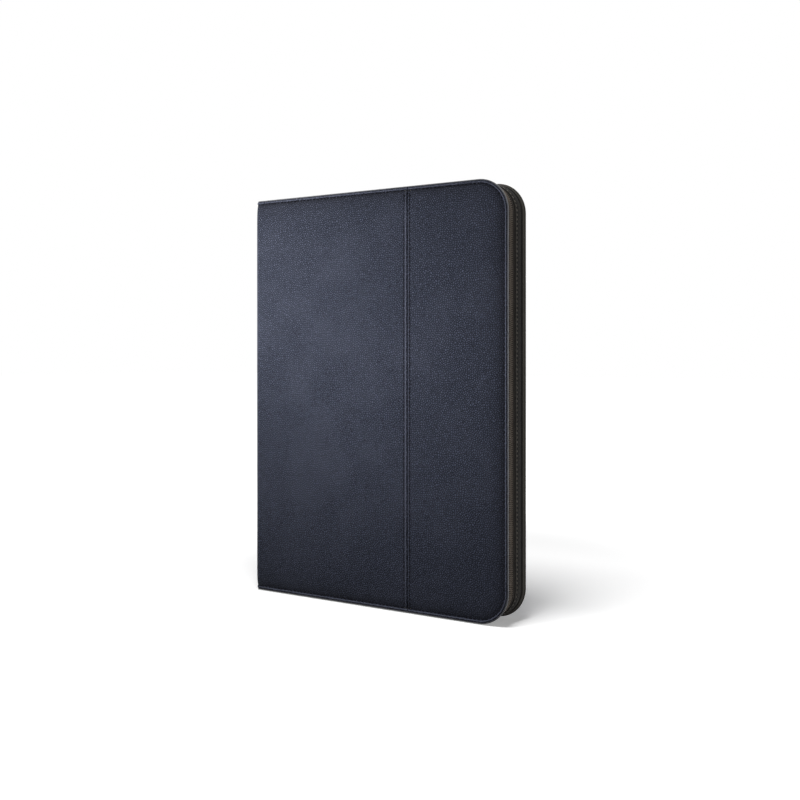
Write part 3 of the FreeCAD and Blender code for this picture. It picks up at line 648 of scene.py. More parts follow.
class NodeTree(Nodes):
    """A geometry node tree with named inputs."""

    def __init__(self, name: str, sizes: tuple[str, ...]) -> None:
        """Starts a tree.

        Args:
            name: The tree's name.
            sizes: The names of its numbers, after the path that it works on and before its material.
        """
        super().__init__(bpy.data.node_groups.new(name, "GeometryNodeTree"))
        face = self.tree.interface
        face.new_socket("Path", in_out="INPUT", socket_type="NodeSocketGeometry")
        kinds = {**dict.fromkeys(sizes, "NodeSocketFloat"), "Material": "NodeSocketMaterial"}
        self.keys = {key: face.new_socket(key, in_out="INPUT", socket_type=kind).identifier
                     for key, kind in kinds.items()}
        face.new_socket("Result", in_out="OUTPUT", socket_type="NodeSocketGeometry")
        self.given = self.tree.nodes.new("NodeGroupInput").outputs
        self.result = self.tree.nodes.new("NodeGroupOutput").inputs["Result"]

    def stand(self, slant: object) -> Socket:
        """The turn that lays X along the path and Z out of the surface, then slants in that plane."""
        tangent = self.add("GeometryNodeInputTangent").outputs[0]
        lie = self.add("GeometryNodeInputNamedAttribute", {"Name": "lie"},
                       data_type="FLOAT_VECTOR").outputs[0]
        along = self.add("FunctionNodeAlignRotationToVector", {"Vector": tangent}, axis="X")
        up = self.add("FunctionNodeAlignRotationToVector",
                      {"Rotation": along.outputs[0], "Vector": lie}, axis="Z", pivot_axis="X")
        spin = self.add("FunctionNodeAxisAngleToRotation", {"Axis": (0.0, 0.0, 1.0), "Angle": slant})
        turn = self.add("FunctionNodeRotateRotation",
                        {"Rotation": up.outputs[0], "Rotate By": spin.outputs[0]}, rotation_space="LOCAL")
        return turn.outputs[0]

    def close(self, path: object, instance: object, turn: object, scale: object) -> None:
        """Sets one instance at each point of the path, and ends the tree."""
        inputs = {"Points": path, "Instance": instance, "Rotation": turn, "Scale": scale}
        placed = self.add("GeometryNodeInstanceOnPoints", inputs).outputs[0]
        real = self.add("GeometryNodeRealizeInstances", {0: placed}).outputs[0]
        soft = self.add("GeometryNodeSetShadeSmooth", {"Geometry": real, "Shade Smooth": True}).outputs[0]
        done = self.add("GeometryNodeSetMaterial", {"Geometry": soft, "Material": self.given["Material"]})
        self.tree.links.new(done.outputs[0], self.result)

    def apply(self, name: str, paths: list["SewnPath"], values: dict[str, object]) -> Piece:
        """Runs the tree over some paths.

        Args:
            name: The finished piece's name.
            paths: Points and the ways out of the surface there.
            values: The tree's inputs by name.

        Returns:
            The result, as a plain mesh.
        """
        points = np.concatenate([p.points for p in paths]) * MM
        ends = np.cumsum([len(p.points) for p in paths])
        edges = [(i, i + 1) for i in range(ends[-1] - 1) if i + 1 not in ends]
        data = bpy.data.meshes.new(name + "_path")
        data.from_pydata(points.tolist(), edges, [])
        lie = data.attributes.new("lie", "FLOAT_VECTOR", "POINT")
        lie.data.foreach_set("vector", np.concatenate([p.lie for p in paths]).astype(np.float32).ravel())
        source = linked(name + "_path", data)
        modifier = source.modifiers.new("run", "NODES")
        modifier.node_group = self.tree
        for key, value in values.items():
            modifier[self.keys[key]] = value
        return plain(source, name)


@dataclass
class SewnPath:
    """Points along a sewn line or a chain, with the way out of the surface at each."""

    points: Array
    lie: Array


class StitchTree(NodeTree):
    """One stitch of thread at each point of a path."""

    def __init__(self) -> None:
        """Builds the tree."""
        super().__init__("sewn_line", ("Length", "Width", "Rise", "Slant"))
        curve = self.add("GeometryNodeMeshToCurve", {"Mesh": self.given["Path"]}).outputs[0]
        bead = self.add("GeometryNodeMeshUVSphere", {"Segments": 8, "Rings": 5, "Radius": 0.5}).outputs[0]
        sides = {i: self.given[key] for i, key in enumerate(("Length", "Width", "Rise"))}
        size = self.add("ShaderNodeCombineXYZ", sides).outputs[0]
        self.close(curve, bead, self.stand(self.given["Slant"]), size)

    def sew(self, name: str, paths: list[SewnPath], thread: Material, length: float = 2.0,
            width: float = 0.8, rise: float = 0.42, slant: float = 0.09) -> Piece:
        """Sews some lines.

        Args:
            name: The piece's name.
            paths: The lines.
            thread: The thread's finish.
            length: A stitch's length, in millimetres.
            width: Its width.
            rise: Its thickness.
            slant: How far it leans across the line, in radians.

        Returns:
            The stitches of every line, as one mesh.
        """
        return self.apply(name, paths, {"Length": length * MM, "Width": width * MM, "Rise": rise * MM,
                                        "Slant": slant, "Material": thread})


class CoilTree(NodeTree):
    """One turn of zip coil at each point of a path, lying across it."""

    def __init__(self) -> None:
        """Builds the tree."""
        super().__init__("zip_coil", ("Reach", "Wire", "Arch", "Slant"))
        curve = self.add("GeometryNodeMeshToCurve", {"Mesh": self.given["Path"]}).outputs[0]
        half = self.maths("MULTIPLY", self.given["Reach"], 0.5)
        back = self.maths("MULTIPLY", half, -1.0)
        ends = [self.add("ShaderNodeCombineXYZ", {1: side}).outputs[0] for side in (back, half)]
        top = self.add("ShaderNodeCombineXYZ", {2: self.given["Arch"]}).outputs[0]
        bar = self.add("GeometryNodeCurveQuadraticBezier",
                       {"Resolution": 5, "Start": ends[0], "Middle": top, "End": ends[1]}).outputs[0]
        share = self.add("GeometryNodeSplineParameter").outputs["Factor"]
        centred = self.maths("SUBTRACT", share, 0.5)
        swell = self.maths("MULTIPLY_ADD", self.maths("MULTIPLY", centred, centred), 1.5, 0.85)
        ring = self.add("GeometryNodeCurvePrimitiveCircle",
                        {"Resolution": 6, "Radius": self.given["Wire"]}).outputs[0]
        turn = self.add("GeometryNodeCurveToMesh", {"Curve": bar, "Profile Curve": ring, "Scale": swell,
                                                    "Fill Caps": True}).outputs[0]
        self.close(curve, turn, self.stand(self.given["Slant"]), (1.0, 1.0, 1.0))

    def wind(self, name: str, paths: list[SewnPath], nylon: Material, reach: float,
             wire: float, arch: float, slant: float) -> Piece:
        """Winds the coil along some paths, with sizes in millimetres, and returns its mesh."""
        return self.apply(name, paths, {"Reach": reach * MM, "Wire": wire * MM, "Arch": arch * MM,
                                        "Slant": slant, "Material": nylon})


# The outline of the case

class Side(Enum):
    """Which way a cover looks."""

    FRONT = -1.0
    BACK = 1.0


class Stop(Enum):
    """Where a cover's columns stop."""

    FOLD = "fold"
    FOLD_START = "fold_start"
    ZIP = "zip"


def unrolled(along: Array, y: Array, z: Array) -> Array:
    """Metres along and up the leather laid flat, where the back cover goes on past the spine's middle."""
    middle = Outline.hinge_x - Outline.hinge_r * (math.pi / 2 - 1) - Outline.crest_y
    along, y, z = np.broadcast_arrays(along, y, z)
    return np.stack([np.where(y > 0, 2 * middle - along, along), z], axis=-1) * MM


def hill(value: Array, middle: float, width: float) -> Array:
    """1 where a value is at the middle, falling smoothly to 0 past a width to either side."""
    return np.exp(-((value - middle) / width) ** 2)


def spread(along: Array, across: Array) -> Array:
    """Metres along and across a band, from the millimetres of its rows and of its columns."""
    return np.stack(np.broadcast_arrays(along[:, None], across[None]), axis=-1) * MM


def travelled(points: Array) -> Array:
    """How far along a line each of its points is."""
    return np.concatenate([[0.0], np.cumsum(np.linalg.norm(np.diff(points, axis=0), axis=1))])


@dataclass
class Run:
    """Stations along an edge: a point on the edge, the way in from it, and the way out of the cover.

    A hole is 1 between two stitches, 0 at a stitch and a half elsewhere. The lift is how far the fold's
    seam raises the face, the wall is the least depth where an edge turns in, and the slide is what the
    bend at the spine adds to the length of the leather.
    """

    origin: Array
    inward: Array
    outward: Array
    hole: Array
    lift: Array
    wall: Array
    slide: Array

    def grain(self, spot: Array) -> Array:
        """Metres along and up the unrolled cover, for points of each station."""
        return unrolled(spot[..., 0] + self.slide[:, None], self.origin[:, 1:2], spot[..., 2])

    def spots(self, inset: Array) -> Array:
        """A grid of stations by insets from the edge, level with the crest."""
        return self.origin[:, None] + self.inward[:, None] * inset[..., None]

    def sheet(self, inset: Array, depth: Array) -> Array:
        """A grid of stations by insets, each at a depth under the crest."""
        return self.spots(inset) - self.outward[:, None] * depth[..., None]

    def band(self, profile: Array) -> Array:
        """A grid of stations by profile points, each an inset and a place across the case."""
        points = self.spots(profile[:, 0])
        points[..., 1] = profile[:, 1]
        return points

    def part(self, keep: slice) -> "Run":
        """Some of the stations."""
        return Run(*(getattr(self, f)[keep] for f in self.__dataclass_fields__))

    def joined(self, *others: "Run") -> "Run":
        """These stations and those of other runs after them."""
        runs = (self, *others)
        return Run(*(np.concatenate([getattr(r, f) for r in runs]) for f in self.__dataclass_fields__))

    def lengths(self, inset: float) -> Array:
        """Millimetres along the run at an inset."""
        return travelled(self.spots(np.array([inset]))[:, 0])


@dataclass(frozen=True)
class Outline:
    """The case's outline and the stations that every piece along it shares."""

    edge_x: float = 100.0
    height: float = 275.0
    crest_y: float = 12.5
    corner: float = 21.0
    hinge_x: float = -96.0
    hinge_r: float = 4.0
    fold_x: float = 27.0
    front_shy: float = 0.8
    step: float = 1.4
    seam_shy: float = 0.9
    seam_left: tuple = (
        (23.4, 0.0), (24.05, -0.03), (24.35, -0.14), (24.6, -0.2), (24.85, -0.1), (25.1, 0.1),
        (25.5, 0.3), (25.95, 0.36), (26.35, 0.28), (26.6, 0.08), (26.75, -0.3), (26.82, -0.9))
    seam_right: tuple = (
        (27.18, -0.9), (27.25, -0.3), (27.4, 0.02), (27.7, 0.16), (28.05, 0.2), (28.35, 0.12),
        (28.6, -0.06), (28.85, -0.18), (29.1, -0.12), (29.5, -0.03), (30.2, 0.0))
    seam_walls: tuple[float, float] = (2.4, 3.9)

    @property
    def arc_x(self) -> float:
        """Where the rounded corners start."""
        return self.edge_x - self.corner

    def reach(self, side: Side) -> float:
        """Where a cover's zip edge is: the front one stops a little short of the back one."""
        return self.edge_x - (self.front_shy if side is Side.FRONT else 0.0)

    def levels(self) -> Array:
        """Heights of the rows between the rounded corners."""
        return np.linspace(self.corner, self.height - self.corner, 167)

    def columns(self, side: Side, stop: Stop) -> Columns:
        """The horizontal section of a cover.

        Args:
            side: Which cover.
            stop: Which part of the cover: up to the fold, on from the fold, or all of it.

        Returns:
            Arrays of base points and ways out, and of what the seam adds at each column.
        """
        sign = side.value
        if stop is Stop.FOLD_START:
            rows, first = self._seam(self.seam_right[::-1], sign)[::-1], self.seam_right[-1][0]
        else:
            rows, first = self._spine(sign), self.hinge_x
        last = self.reach(side) - self.corner
        if stop is Stop.FOLD:
            last = self.seam_left[0][0] - self.seam_shy
        count = 2 * round((last - first) / self.step / 2)
        xs = np.linspace(first, last, count + 1)[1:]
        rows += [self._flat(x, sign, hole=float((i + 1) % 2)) for i, x in enumerate(xs)]
        if stop is Stop.FOLD:
            rows += self._seam(self.seam_left, sign)
        return self._table(rows)

    def flat_columns(self, xs: Array, side: Side) -> Columns:
        """Plain columns of a flat cover at some places along it."""
        return self._table([self._flat(x, side.value, hole=0.0) for x in xs])

    @staticmethod
    def _table(rows: list[tuple[float, ...]]) -> Columns:
        """Columns by name, from their rows of numbers."""
        table = np.array(rows)
        rest = dict(zip(("lift", "wall", "hole", "slide"), table[:, 4:].T))
        return {"base": table[:, :2], "out": table[:, 2:4], **rest}

    def _flat(self, x: float, sign: float, lift: float = 0.0, wall: float = 0.0,
              hole: float = 0.5) -> tuple[float, ...]:
        """A column of the flat face: its place, way out, lift, wall, hole and slide."""
        return (x, sign * self.crest_y, 0.0, sign, lift, wall, hole, 0.0)

    def _spine(self, sign: float) -> list[tuple[float, ...]]:
        """Columns from the spine's middle and round its bend."""
        r, flat = self.hinge_r, self.crest_y - self.hinge_r
        bend = self.edge_x + self.hinge_x - r * math.pi / 2
        rows = [(-self.edge_x, sign * y, -1.0, 0.0, 0.0, 0.0, 0.5, bend + y - flat)
                for y in np.linspace(0, flat, 7)[:-1]]
        for turn in np.linspace(0, math.pi / 2, 9):
            c, s = math.cos(turn), math.sin(turn)
            rows.append((self.hinge_x - r * c, sign * (flat + r * s), -c, sign * s, 0.0, 0.0, 0.5,
                         r * (c + turn - math.pi / 2)))
        return rows

    def _seam(self, seam: tuple, sign: float) -> list[tuple[float, ...]]:
        """Columns over one side of the fold seam, ending in its turned edge."""
        edge, lift = seam[-1]
        turned = [self._flat(edge, sign, lift, wall) for wall in self.seam_walls]
        return [self._flat(x, sign, rise) for x, rise in seam] + turned

    def edge(self, cols: Columns, top: bool) -> Run:
        """The stations of the top or bottom edge over some columns."""
        count = len(cols["lift"])
        origin = np.column_stack([cols["base"], np.full(count, self.height if top else 0.0)])
        inward = np.tile([0.0, 0.0, -1.0 if top else 1.0], (count, 1))
        outward = np.column_stack([cols["out"], np.zeros(count)])
        return Run(origin, inward, outward, cols["hole"], cols["lift"], cols["wall"], cols["slide"])

    def zip_end(self, side: Side) -> Run:
        """The stations round the two corners and down the zip edge, from the top corner's end."""
        sign = side.value
        turns = np.linspace(0, math.pi / 2, 21)
        c, s = np.cos(turns), np.sin(turns)
        zs = self.levels()[::-1]
        r, mid = self.corner, self.reach(side) - self.corner
        top = np.column_stack([mid + r * s, self.height - r + r * c, -s, -c])
        down = np.column_stack([np.full(len(zs), mid + r), zs, -np.ones(len(zs)), np.zeros(len(zs))])
        low = np.column_stack([mid + r * c, r - r * s, -c, s])
        way = np.concatenate([top[1:], down[1:-1], low[:-1]])
        count = len(way)
        origin = np.column_stack([way[:, 0], np.full(count, sign * self.crest_y), way[:, 1]])
        inward = np.column_stack([way[:, 2], np.zeros(count), way[:, 3]])
        outward = np.tile([0.0, sign, 0.0], (count, 1))
        hole = (np.arange(1, count + 1) % 2).astype(float)
        return Run(origin, inward, outward, hole, np.zeros(count), np.zeros(count), np.zeros(count))

    def rim(self, cols: Columns, side: Side) -> Run:
        """The whole edge over columns that reach the zip: top, round the end, back along the bottom."""
        low = self.edge(cols, False).part(slice(None, None, -1))
        return self.edge(cols, True).joined(self.zip_end(side), low)

    def runs(self, cols: Columns, side: Side, stop: Stop) -> list[Run]:
        """The edges of a cover: two beside the spine, or one that goes all the way round."""
        if stop is Stop.FOLD:
            return [self.edge(cols, True), self.edge(cols, False)]
        return [self.rim(cols, side)]

    def plain_rim(self, start_x: float) -> Run:
        """Even stations along the rim from a distance from the spine, for bands and chains."""
        count = max(2, round((self.arc_x - start_x) / self.step))
        xs = np.linspace(start_x, self.arc_x, count + 1)
        return self.rim(self.flat_columns(xs, Side.BACK), Side.BACK)


# Covers

SPINE_FRONT = Crossing("spine", "front_inner", (-100.0, -8.5, 0.0), (-95.6, -12.5, 0.0))
SPINE_BACK = Crossing("spine", "back_half", (-100.0, 8.5, 0.0), (-95.6, 12.5, 0.0))
FOLD_OUTSIDE = Crossing("front_inner", "front_outer", (25.8, -12.5, 0.0), (28.2, -12.5, 0.0))
FOLD_INSIDE = Crossing("front_inner", "front_outer", (23.8, -8.5, 0.0), (30.2, -8.5, 0.0))


@dataclass(frozen=True)
class Panel:
    """One cover: its extent, what carries it, the CAD nodes it stands for and how it is sewn.

    The hem is the inset of the stitches in the lining. A ridge is the place and depth of a line of
    stitches beside the fold.
    """

    key: str
    side: Side
    stop: Stop
    on: str | Crossing
    thread_on: str | Crossing
    skins: tuple[str, ...]
    linings: tuple[str, ...]
    bindings: tuple[str, ...] = ()
    hem: float = 3.9
    ridges: tuple[tuple[float, float], ...] = ()


PANELS = (
    Panel("front_inner", Side.FRONT, Stop.FOLD, SPINE_FRONT, SPINE_FRONT,
          ("front_inner_skin", "front_inner_binding", "fold_welt", "spine_skin", "spine_binding"),
          ("front_inner_lining", "spine_lining"), ridges=((24.6, 0.26),)),
    Panel("front_outer", Side.FRONT, Stop.FOLD_START, "front_outer", "front_outer",
          ("front_outer_skin", "front_outer_binding"), ("front_outer_lining",), ridges=((28.85, 0.24),)),
    Panel("back", Side.BACK, Stop.ZIP, SPINE_BACK, "back_half", ("back_skin",), ("back_lining",),
          ("back_binding",), hem=4.9),
)


@dataclass
class Covers:
    """The leather covers, their piped edges, linings and the strips inside the fold."""

    outline: Outline
    finishes: Finishes
    stitch_inset: float = 3.05
    crest_inset: float = 2.3
    roll_inset: float = 2.9
    roll_lift: float = 0.25
    puff: float = 0.1
    roll: tuple = (
        (3.9, 0.88), (3.55, 1.0), (3.25, 1.1), (3.05, 1.14), (2.9, 1.08), (2.74, 0.9), (2.58, 0.66),
        (2.42, 0.48), (2.24, 0.4), (2.02, 0.42), (1.78, 0.5), (1.56, 0.63), (1.37, 0.8), (1.22, 1.0))
    bead: tuple = (
        (1.22, 1.0), (1.12, 0.93), (0.95, 0.86), (0.75, 0.87), (0.58, 0.98), (0.5, 1.16), (0.52, 1.36),
        (0.64, 1.54), (0.84, 1.64), (1.05, 1.68), (1.16, 1.8), (1.2, 2.3), (1.4, 3.0), (1.9, 3.6),
        (2.6, 3.92), (3.3, 4.0))
    hem: tuple = ((4.4, 4.08), (3.6, 4.1), (3.0, 4.06), (2.5, 3.96), (2.2, 3.7))
    cloth_depth: float = 4.05
    crown: float = 1.05
    crown_run: float = 3.0
    wave: float = 0.035
    # Painted shade on the face beside the sewn edge, for the shade of the padded edge, and how far in it
    # fades.
    edge_shade: float = 0.72
    edge_shade_run: float = 4.2
    # Painted shade in the fold's gutter.
    fold_shade: float = 0.85
    fold_shy: tuple[float, float] = (0.45, 0.5)
    gutter_half: float = 2.6
    gutter_depth: float = 1.15
    strip_half: float = 3.8
    strip_depth: float = 4.12
    strip_bow: float = 0.1

    def insets(self) -> Array:
        """Insets of the face's rings, from the corner's centre outwards to the stitching."""
        return np.concatenate([np.linspace(self.outline.corner, 6.6, 11), [5.3, 4.4]])

    def face_depth(self, inset: Array, x: Array, z: Array) -> Array:
        """How far the face lies under the crest: a low crown with faint waves in the board."""
        crown = 0.1 + self.crown * np.exp(-np.maximum(inset - 3.0, 0) / self.crown_run)
        waves = self.wave * np.sin(x / 17 + 1.3 * np.sin(z / 31)) * np.sin(z / 23 + 0.7)
        calm = np.clip((inset - 6) / 12, 0, 1)
        return crown + waves * calm

    def ease(self, depth: Array, inset: Array, out_y: Array) -> Array:
        """Depths with less padding behind the roll where the cover turns round the spine."""
        share = (1 - np.abs(out_y))[:, None] * (0.2 + 0.55 * np.clip((inset - 1.5) / 1.0, 0, 1))
        return depth - share * (depth - 0.1) * np.clip((3.2 - depth) / 2.2, 0, 1)

    def edge_sheet(self, patch: Patch, run: Run) -> None:
        """Adds the face's outer rings, stitched groove and rolled edge along a run."""
        rings, roll = self.insets(), np.array(self.roll)
        inset = np.concatenate([rings, roll[:, 0]])
        inset = np.broadcast_to(inset, (len(run.origin), len(inset)))
        spot = run.spots(inset)
        face = slice(0, len(rings))
        flat = self.face_depth(inset[:, face], spot[:, face, 0], spot[:, face, 2])
        rolled = np.broadcast_to(roll[:, 1], (len(run.origin), len(roll)))
        depth = self.ease(np.concatenate([flat, rolled], axis=1), inset, run.outward[:, 1])
        past, lift, hole = inset - self.stitch_inset, run.lift[:, None], (run.hole == 1.0)[:, None]
        kept = lift * np.where((inset < self.roll_inset) & (lift > 0), self.roll_lift, 1.0)
        puff = self.puff * hill(inset, self.stitch_inset, 0.32) * hole
        depth = np.maximum(depth - kept - puff, run.wall[:, None])
        # Wear with a painted highlight on the roll's crest and on the fold seam's lifted ridges.
        rub = hill(inset, self.crest_inset, 0.26) + np.clip(lift - 0.15, 0, 1) * 2.0
        # Painted shade in the stitched groove, darkest at each stitch, under the roll, and on the face
        # beside the sewn edge, where it stands for the shade of the padded edge.
        groove = hill(inset, self.stitch_inset, 0.26) * (0.75 - 0.5 * hole)
        under = np.clip((1.95 - inset) / 0.3, 0, 1) * 0.65
        beside = self.edge_shade * np.exp(-np.maximum(past, 0) / self.edge_shade_run)
        seam = groove + under + beside * np.clip((past - 0.1) / 0.4, 0, 1)
        patch.grid(run.sheet(inset, depth), run.outward[:, None], np.clip(rub, 0, 1), np.clip(seam, 0, 0.9),
                   run.grain(spot))

    def block(self, patch: Patch, cols: Columns, edge: float | None) -> None:
        """Adds the face between the rings, with the seam's ridges and sewn grooves."""
        zs = self.outline.levels()
        x, lift = cols["base"][:, :1], cols["lift"][:, None]
        inset = np.minimum(zs, self.outline.height - zs)[None]
        if edge is not None:
            inset = np.minimum(inset, edge - x)
        inset, across, up = np.broadcast_arrays(inset, x, zs[None])
        depth = self.ease(self.face_depth(inset, across, up), inset, cols["out"][:, 1])
        groove = np.clip(-lift - 0.02, 0, 0.12) * 8 * (lift > -0.25)
        odd = (np.arange(len(zs)) % 2)[None]
        depth = np.maximum(depth - lift - 0.08 * groove * odd, cols["wall"][:, None])
        # Wear with a painted highlight on the seam's ridges; painted shade in its sewn grooves and in the
        # gap between the boards.
        rub = np.clip((lift - 0.12) * 3.0, 0, 0.4)
        gap = np.clip((-0.2 - lift) / 0.15, 0, 1)
        seam = np.clip(groove * (1.0 - 0.4 * odd) + gap, 0, 0.95)
        grain = unrolled(x + cols["slide"][:, None], cols["base"][:, 1:], zs[None])
        self.raise_up(patch, cols, depth, 1.0, rub=rub, seam=seam, run=grain)

    def raise_up(self, patch: Patch, cols: Columns, depth: Array, look: float, **marks: Array) -> None:
        """Adds the face that some columns make between the rounded corners.

        Args:
            patch: Where the faces go.
            cols: The columns.
            depth: Depths under the crest, by column and level.
            look: 1 for a face that looks out of the case, -1 for one that looks into it.
            marks: What else the grid of points carries.
        """
        zs = self.outline.levels()
        points = np.empty((len(cols["lift"]), len(zs), 3))
        points[..., :2] = cols["base"][:, None] - cols["out"][:, None] * depth[..., None]
        points[..., 2] = zs
        out = np.column_stack([cols["out"], np.zeros(len(points))])[:, None]
        patch.grid(points, look * out, **marks)

    def leather(self, panel: Panel) -> Piece:
        """One leather cover with its rolled edge."""
        o = self.outline
        cols = o.columns(panel.side, panel.stop)
        patch = Patch()
        self.block(patch, cols, None if panel.stop is Stop.FOLD else o.reach(panel.side))
        for run in o.runs(cols, panel.side, panel.stop):
            self.edge_sheet(patch, run)
        return patch.mesh("leather_" + panel.key, self.finishes.navy)

    def piping(self, panel: Panel) -> Piece:
        """The bead along a cover's edge, turned in under the lining."""
        o, back = self.outline, panel.side is Side.BACK
        inset, sink = np.array(self.bead).T
        # Front: a pale line along the bead's edge, partly its worn edge and partly a painted highlight,
        # with painted shade on its underside. Back: a painted highlight with wear over the rim.
        rub = hill(sink, 1.25, 0.28)
        under = np.clip((sink - 1.62) / 0.25, 0, 0.85)
        if back:
            rub, under = np.clip((3.6 - sink) / 0.5, 0, 0.9), 0.0
        patch = Patch()
        for run in o.runs(o.columns(panel.side, panel.stop), panel.side, panel.stop):
            depth = np.broadcast_to(sink, (len(run.origin), len(sink)))
            depth = np.maximum(self.ease(depth, inset, run.outward[:, 1]), run.wall[:, None])
            patch.grid(run.sheet(inset, depth), -run.inward[:, None], rub, under,
                       run.grain(run.spots(inset)))
        return patch.mesh("piping_" + panel.key, self.finishes.black if back else self.finishes.piping)

    def cloth(self, panel: Panel) -> Piece:
        """The lining of one cover, turned under at its edge."""
        o = self.outline
        cols = o.columns(panel.side, panel.stop)
        flat = cols["lift"] == 0.0
        cols = {key: values[flat] for key, values in cols.items()}
        rings = self.insets()[:-1]
        hem = np.array(self.hem)
        inset = np.concatenate([rings, hem[:, 0]])
        depth = np.concatenate([np.full(len(rings), self.cloth_depth), hem[:, 1]])
        patch = Patch()
        for run in o.runs(cols, panel.side, panel.stop):
            patch.grid(run.sheet(inset, depth), -run.outward[:, None])
        self.raise_up(patch, cols, np.full((1, 1), self.cloth_depth), -1.0)
        return patch.mesh("lining_" + panel.key, self.finishes.lining)

    def fold_strip(self, name: str, xs: Array, depths: Array, look: float,
                   skin: Material, inset: float) -> Piece:
        """A strip along the fold, over or under the gap between the two boards."""
        o = self.outline
        zs = np.linspace(inset, o.height - inset, 120)
        points = np.empty((len(xs), len(zs), 3))
        points[..., 0] = xs[:, None]
        points[..., 1] = (-o.crest_y + depths)[:, None]
        points[..., 2] = zs
        outside = look < 0
        # The outside strip down the gutter is darkened all over as painted shade.
        shade = self.fold_shade if outside else 0.0
        patch = Patch()
        patch.grid(points, np.array([0.0, look, 0.0]), seam=shade, run=points[..., ::2] * MM)
        if outside:
            profile = np.array([*self.roll, *self.bead[1:]]) + np.array(self.fold_shy)
            for run in o.runs(o.flat_columns(xs, Side.FRONT), Side.FRONT, Stop.FOLD):
                sheet = run.sheet(*profile.T)
                way = run.outward[:, None] - run.inward[:, None]
                patch.grid(sheet, way, seam=shade, run=sheet[..., ::2] * MM)
        return patch.mesh(name, skin)

    def build(self) -> None:
        """Makes every cover piece and settles it on its body."""
        fold, f = self.outline.fold_x, self.finishes
        for panel in PANELS:
            settle(self.leather(panel), panel.on, panel.skins)
        for panel in PANELS:
            settle(self.piping(panel), panel.on, panel.bindings)
        for panel in PANELS:
            settle(self.cloth(panel), panel.on, panel.linings)
        across = np.linspace(-self.gutter_half, self.gutter_half, 13)
        level = np.full(len(across), self.gutter_depth)
        gutter = self.fold_strip("fold_gutter", fold + across, level, -1.0, f.navy, 3.4)
        settle(gutter, FOLD_OUTSIDE)
        across = np.linspace(-self.strip_half, self.strip_half, 17)
        bowed = self.strip_depth - self.strip_bow * np.cos(across / self.strip_half * math.pi / 2)
        strip = self.fold_strip("fold_lining", fold + across, bowed, 1.0, f.lining, 2.6)
        settle(strip, FOLD_INSIDE)


# Sewing

@dataclass
class Sewing:
    """Every sewn line on the covers."""

    outline: Outline
    covers: Covers
    finishes: Finishes
    tree: StitchTree
    groove_depth: float = 1.0
    hem_depth: float = 4.16
    seam_start: float = 6.6

    def edge_path(self, run: Run, inset: float, depth: float, look: float) -> SewnPath:
        """Stitches along a run, one at each station that isn't a hole."""
        kept = run.part(run.hole == 0.0)
        return SewnPath(kept.sheet(np.array([inset]), np.array([depth]))[:, 0], kept.outward * look)

    def seam_path(self, x: float, depth: float) -> SewnPath:
        """Stitches down the fold seam."""
        o = self.outline
        end = np.linspace(self.seam_start, o.corner, 6)[:-1]
        zs = np.concatenate([end, o.levels()[::2], o.height - end[::-1]])
        points = np.column_stack([np.full(len(zs), x), np.full(len(zs), -o.crest_y + depth), zs])
        return SewnPath(points, np.tile([0.0, -1.0, 0.0], (len(zs), 1)))

    def build(self) -> None:
        """Sews every line."""
        o = self.outline
        for panel in PANELS:
            runs = o.runs(o.columns(panel.side, panel.stop), panel.side, panel.stop)
            lines = [self.edge_path(run, self.covers.stitch_inset, self.groove_depth, 1.0) for run in runs]
            lines += [self.seam_path(*ridge) for ridge in panel.ridges]
            lines += [self.edge_path(run, panel.hem, self.hem_depth, -1.0) for run in runs]
            sewn = self.tree.sew("stitches_" + panel.key, lines, self.finishes.thread_navy)
            settle(sewn, panel.thread_on)


# Gusset and zip

@dataclass
class Gusset:
    """The black band between the back cover and the zip."""

    outline: Outline
    finishes: Finishes
    tree: StitchTree
    start_x: float = -95.4
    sewn_y: float = 2.5
    sewn_inset: float = 2.38
    crest_y: float = 1.1
    pinch: float = 0.16
    profile: tuple = (
        (4.1, 0.75), (3.2, 0.5), (2.65, 0.5), (2.36, 0.7), (2.22, 1.1), (2.24, 1.6), (2.36, 2.1),
        (2.5, 2.5), (2.4, 2.9), (2.2, 3.4), (2.0, 4.3), (1.9, 5.6), (1.95, 6.9), (2.15, 7.9),
        (2.6, 8.6), (4.1, 8.6))

    def build(self) -> None:
        """Makes the band and its stitches."""
        run = self.outline.plain_rim(self.start_x)
        profile = np.array(self.profile)
        y = profile[:, 1]
        odd = (np.arange(len(run.origin)) % 2)[:, None]
        sewn = hill(y, self.sewn_y, 0.5)[None]
        points = run.band(profile) + run.inward[:, None] * (self.pinch * sewn * odd)[..., None]
        # A painted highlight with wear on the band's crest, and painted shade in the stitched groove,
        # darker at every other station.
        rub = hill(y, self.crest_y, 0.35) * 0.7
        painted_shade = np.clip(sewn * (0.2 + 0.5 * odd), 0, 0.8)
        patch = Patch()
        patch.grid(points, -run.inward[:, None], rub, painted_shade, spread(run.lengths(2.0), y), loop=True)
        for end in (points[0], points[-1]):
            patch.fan(end, np.array([-1.0, 0.0, 0.0]))
        settle(patch.mesh("gusset_band", self.finishes.black), "back_half", ("gusset",))
        kept = run.part(slice(2, -2, 2))
        line = SewnPath(kept.band(np.array([[self.sewn_inset, self.sewn_y]]))[:, 0], -kept.inward)
        stitches = self.tree.sew("stitches_gusset", [line], self.finishes.thread_grey, 1.7, 0.55, 0.5, 0.12)
        settle(stitches, "back_half")


